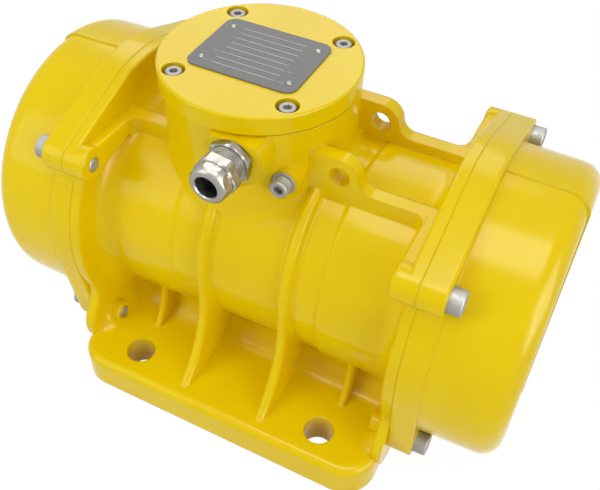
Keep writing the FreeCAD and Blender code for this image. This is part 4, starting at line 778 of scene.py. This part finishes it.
class MOTOR_OT_cover_screws(bpy.types.Operator):
    """Put the eight socket screws of the end covers in place"""
    bl_idname = "motor.cover_screws"
    bl_label = "Cover screws"

    def execute(self, context):
        sizes = context.scene.motor_fasteners
        seat = SEAM_X + COVER_SCREW_SEAT_OUT
        shape = socket_screw_mesh("cover_screw", sizes.head_radius, sizes.head_height, sizes.key_size,
                                  COVER_THREAD_RADIUS, COVER_SCREW_SEAT_OUT + COVER_SCREW_BITE)
        points = cover_screw_points(-seat) + cover_screw_points(seat)
        made = fastener_set("cover_socket_screws", shape, FINISHES["zinc"], points,
                            [LEFT] * 4 + [RIGHT] * 4, sizes.seed)
        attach(made, "housing")
        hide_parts("cover_screws")
        return {"FINISHED"}


class MOTOR_OT_lid_screws(bpy.types.Operator):
    """Put the four socket screws in the counterbores of the lid"""
    bl_idname = "motor.lid_screws"
    bl_label = "Lid screws"

    def execute(self, context):
        sizes = context.scene.motor_fasteners
        shape = socket_screw_mesh("lid_screw", sizes.lid_head_radius, LID_SCREW_HEAD_HEIGHT,
                                  sizes.lid_key_size, LID_THREAD_RADIUS, LID_SCREW_REACH,
                                  LID_SCREW_KNURLS)
        points = corner_points(LID_SCREW_OFFSET, LID_SCREW_OFFSET, LID_X, LID_SCREW_SEAT_Z)
        made = fastener_set("lid_socket_screws", shape, FINISHES["dark_zinc"], points, [UP] * 4,
                            sizes.seed + 1)
        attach(made, "housing")
        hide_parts("terminal_cover_screws")
        dress(["terminal_cover_washers"], FINISHES["dark_zinc"])
        return {"FINISHED"}


class MOTOR_OT_earth_screw(bpy.types.Operator):
    """Put the earth screw and its washer on their boss"""
    bl_idname = "motor.earth_screw"
    bl_label = "Earth screw"

    def execute(self, context):
        sizes = context.scene.motor_fasteners
        shape = socket_screw_mesh("earth_screw_shape", sizes.earth_head_radius, EARTH_SCREW_HEAD_HEIGHT,
                                  EARTH_SCREW_KEY, EARTH_THREAD_RADIUS, EARTH_SCREW_REACH,
                                  EARTH_SCREW_KNURLS)
        made = fastener_set("earth_socket_screw", shape, FINISHES["zinc"], [EARTH_SCREW_SEAT], [FRONT],
                            sizes.seed + 2)
        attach(made, "housing")
        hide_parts("earth_screw")
        dress(["earth_washer"], FINISHES["zinc"])
        return {"FINISHED"}


class MOTOR_OT_rivets(bpy.types.Operator):
    """Put the four rivets on the nameplate"""
    bl_idname = "motor.rivets"
    bl_label = "Nameplate rivets"

    def execute(self, context):
        sizes = context.scene.motor_fasteners
        shape = rivet_mesh("rivet", sizes.rivet_radius, RIVET_HEIGHT)
        points = corner_points(RIVET_OFFSET_X, RIVET_OFFSET_Y, PLATE_X, PLATE_TOP_Z)
        made = fastener_set("plate_rivets", shape, FINISHES["rivet"], points, [UP] * 4, sizes.seed)
        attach(made, "housing")
        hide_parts("nameplate_rivets")
        return {"FINISHED"}


class MOTOR_OT_nameplate(bpy.types.Operator):
    """Finish the blank nameplate and make its ruled rows"""
    bl_idname = "motor.nameplate"
    bl_label = "Nameplate"

    def execute(self, context):
        settings = context.scene.motor_plate
        dress(["nameplate"], plate_grey(settings))
        bare = metal("plate_line", settings.line, roughness=0.3, grain=900.0)
        common = {"Height": PRINT_HEIGHT * MM, "Finish": bare}
        rows = {**common, "Length": ROW_LENGTH * MM, "Width": ROW_WIDTH * MM,
                "Pitch": ROWS_DEPTH / max(settings.rows - 1, 1) * MM, "Rows": settings.rows}
        ticks = {**common, "Length": TICK_LENGTH * MM, "Width": TICK_WIDTH * MM,
                 "Pitch": TICK_PITCH * MM, "Rows": 2}
        row_points = [(PLATE_X, ROWS_START_Y, PLATE_TOP_Z)]
        tick_points = [(PLATE_X + side * TICK_OFFSET_X, ROWS_START_Y, PLATE_TOP_Z) for side in (-1, 1)]
        merged = joined_mesh("plate_lines", [grow("ruled_rows", GROUPS["ruled"], row_points, rows),
                                             grow("ruled_short", GROUPS["ruled"], tick_points, ticks)])
        lines = to_object("plate_lines", merged, bare)
        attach(lines, "housing")
        return {"FINISHED"}


class MOTOR_OT_gland(bpy.types.Operator):
    """Make the nickel-plated cable gland: body with its thread, domed nut and rubber ring"""
    bl_idname = "motor.gland"
    bl_label = "Cable gland"

    def execute(self, context):
        nickel = metal("nickel_brass", (0.35, 0.335, 0.305), roughness=0.33, grain=300.0, mottle=0.03,
                       relief=0.0001)
        body = gland_body_mesh()
        nut = gland_nut_mesh()
        seal = gland_seal_mesh()
        body.transform(Matrix.Rotation(math.radians(GLAND_BODY_TURN), 4, "Z"))
        nut.transform(Matrix.Rotation(math.radians(GLAND_NUT_TURN), 4, "Z"))
        for mesh, replaced, name, finish, slot in (
                (body, "gland_body", "gland_body_plated", nickel, "nickel_brass"),
                (nut, "gland_nut", "gland_nut_plated", nickel, "nickel_brass"),
                (seal, "gland_ring", "gland_ring_rubber", FINISHES["rubber"], "black_rubber")):
            place(mesh, GLAND_FOOT, FRONT)
            made = to_object(name, mesh, finish, GLAND_SMOOTH_ANGLE)
            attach(made, "housing")
            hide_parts(replaced)
        return {"FINISHED"}


# Studio

def soft_box(name, centre, size, power):
    """Area light aimed at the motor's middle. Its centre is in millimetres, its size in metres."""
    data = bpy.data.lights.new(name, "AREA")
    data.shape = "RECTANGLE"
    data.size, data.size_y = size
    data.energy = power
    lamp = into_scene(name, data)
    lamp.location = Vector(centre) * MM
    lamp.rotation_mode = "QUATERNION"
    lamp.rotation_quaternion = (Vector(LAMP_TARGET) - Vector(centre)).to_track_quat("-Z", "Y")
    return lamp


def seen_directly(tree):
    """1 where the camera, a mirror or glass sees the surface, 0 where it only lights others."""
    path = node(tree, "ShaderNodeLightPath").outputs
    mirrored = node(tree, "ShaderNodeMath", {0: path["Is Glossy Ray"], 1: path["Is Transmission Ray"]},
                    operation="MAXIMUM")
    return node(tree, "ShaderNodeMath", {0: path["Is Camera Ray"], 1: mirrored.outputs[0]},
                operation="MAXIMUM").outputs[0]


def choose_shader(tree, factor, first, second, output):
    """Ends a tree in a mix of two shaders."""
    mix = node(tree, "ShaderNodeMixShader", {"Fac": factor, 1: first.outputs[0], 2: second.outputs[0]})
    tree.links.new(mix.outputs[0], tree.nodes[output].inputs["Surface"])


def studio_floor(settings):
    """A wide floor that is seen nearly white, and lights the motor as pale card would."""
    half_width = 4.0
    glow_strength = 1.06
    glow_share = 0.9
    shape = bmesh.new()
    bmesh.ops.create_grid(shape, x_segments=1, y_segments=1, size=half_width)
    mesh = to_mesh("studio_floor", shape)
    material, tree, shader = new_material("pale_floor", Roughness=0.9, Specular_IOR_Level=0.1)
    shader.inputs["Base Color"].default_value = rgba(settings.floor)
    glow = node(tree, "ShaderNodeEmission", {"Color": WHITE, "Strength": glow_strength})
    share = node(tree, "ShaderNodeMath", {0: seen_directly(tree), 1: glow_share}, operation="MULTIPLY")
    choose_shader(tree, share.outputs[0], shader, glow, "Material Output")
    mesh.materials.append(material)
    return into_scene("studio_floor", mesh)


def studio_world():
    """Surroundings that are seen white and give less light."""
    seen_strength = 1.0
    given_strength = 0.38
    world = bpy.data.worlds.new("studio_white")
    world.use_nodes = True
    tree = world.node_tree
    dim = tree.nodes["Background"]
    dim.inputs["Color"].default_value = WHITE
    dim.inputs["Strength"].default_value = given_strength
    white = node(tree, "ShaderNodeBackground", {"Color": WHITE, "Strength": seen_strength})
    choose_shader(tree, seen_directly(tree), dim, white, "World Output")
    return world


def studio_lamps(settings):
    """Three boxes that only reflections show, a sky box that they don't show, and two side boxes."""
    for name, centre, size, share in (("rear_box", (-520, 1080, 1150), (1.1, 0.8), 0.65),
                                      ("top_box", (70, -230, 1340), (0.9, 0.6), 1.0),
                                      ("end_box", (1340, -250, 370), (1.0, 1.1), 1.8)):
        mirrored = soft_box(name, centre, size, settings.key_power * share)
        mirrored.visible_diffuse = False
    sky = soft_box("sky_box", (0, 100, 1350), (1.2, 1.2), settings.fill_power)
    sky.visible_glossy = False
    soft_box("left_box", (-784, -924, 790), (0.7, 1.0), settings.fill_power)
    soft_box("right_box", (1200, -600, 600), (0.7, 1.0), settings.fill_power)


def studio_camera(settings):
    """The camera where the photograph was taken from."""
    data = bpy.data.cameras.new("studio_camera")
    data.sensor_fit = "HORIZONTAL"
    data.sensor_width = CAMERA_SENSOR
    data.lens = settings.lens
    data.clip_start = 0.01
    azimuth = math.radians(CAMERA_AZIMUTH)
    elevation = math.radians(CAMERA_ELEVATION)
    roll = math.radians(CAMERA_ROLL)
    back = Vector((math.sin(azimuth) * math.cos(elevation), -math.cos(azimuth) * math.cos(elevation),
                   math.sin(elevation)))
    level = Vector((math.cos(azimuth), math.sin(azimuth), 0.0))
    upright = back.cross(level)
    across = math.cos(roll) * level + math.sin(roll) * upright
    up = math.cos(roll) * upright - math.sin(roll) * level
    turn = Matrix((across, up, back)).transposed().to_4x4()
    stand = (Vector(CAMERA_TARGET) + back * CAMERA_DISTANCE) * MM
    camera = into_scene("studio_camera", data)
    camera.matrix_world = Matrix.Translation(stand) @ turn
    return camera


class MOTOR_OT_stage(bpy.types.Operator):
    """Make the floor, the soft light, the white surroundings and the camera"""
    bl_idname = "motor.stage"
    bl_label = "Studio"

    def execute(self, context):
        settings = context.scene.motor_studio
        studio_floor(settings)
        context.scene.world = studio_world()
        studio_lamps(settings)
        context.scene.camera = studio_camera(settings)
        return {"FINISHED"}


class MOTOR_PT_panel(bpy.types.Panel):
    """All settings, and a button for each operator"""
    bl_idname = "MOTOR_PT_panel"
    bl_label = "Vibration motor"
    bl_space_type = "VIEW_3D"
    bl_region_type = "UI"
    bl_category = "Motor"

    def draw(self, context):
        for name, group in SETTINGS:
            column = self.layout.box().column()
            settings = getattr(context.scene, name)
            for key in group.__annotations__:
                column.prop(settings, key)
        for operator in OPERATORS:
            self.layout.operator(operator.bl_idname)


OPERATORS = (MOTOR_OT_castings, MOTOR_OT_inner_parts, MOTOR_OT_seals, MOTOR_OT_cover_screws,
             MOTOR_OT_lid_screws, MOTOR_OT_earth_screw, MOTOR_OT_rivets, MOTOR_OT_nameplate,
             MOTOR_OT_gland, MOTOR_OT_stage)


def register():
    for name, group in SETTINGS:
        bpy.utils.register_class(group)
        setattr(bpy.types.Scene, name, bpy.props.PointerProperty(type=group))
    for operator in OPERATORS:
        bpy.utils.register_class(operator)
    bpy.utils.register_class(MOTOR_PT_panel)


def unregister():
    bpy.utils.unregister_class(MOTOR_PT_panel)
    for operator in reversed(OPERATORS):
        bpy.utils.unregister_class(operator)
    for name, group in reversed(SETTINGS):
        delattr(bpy.types.Scene, name)
        bpy.utils.unregister_class(group)


def main():
    register()
    bpy.context.scene.view_settings.view_transform = "Standard"
    GROUPS["fasteners"] = fastener_tree()
    GROUPS["ruled"] = ruled_tree()
    FINISHES.update(shared_finishes())
    for operator in OPERATORS:
        group, name = operator.bl_idname.split(".")
        getattr(getattr(bpy.ops, group), name)()


if __name__ == "__main__":
    main()
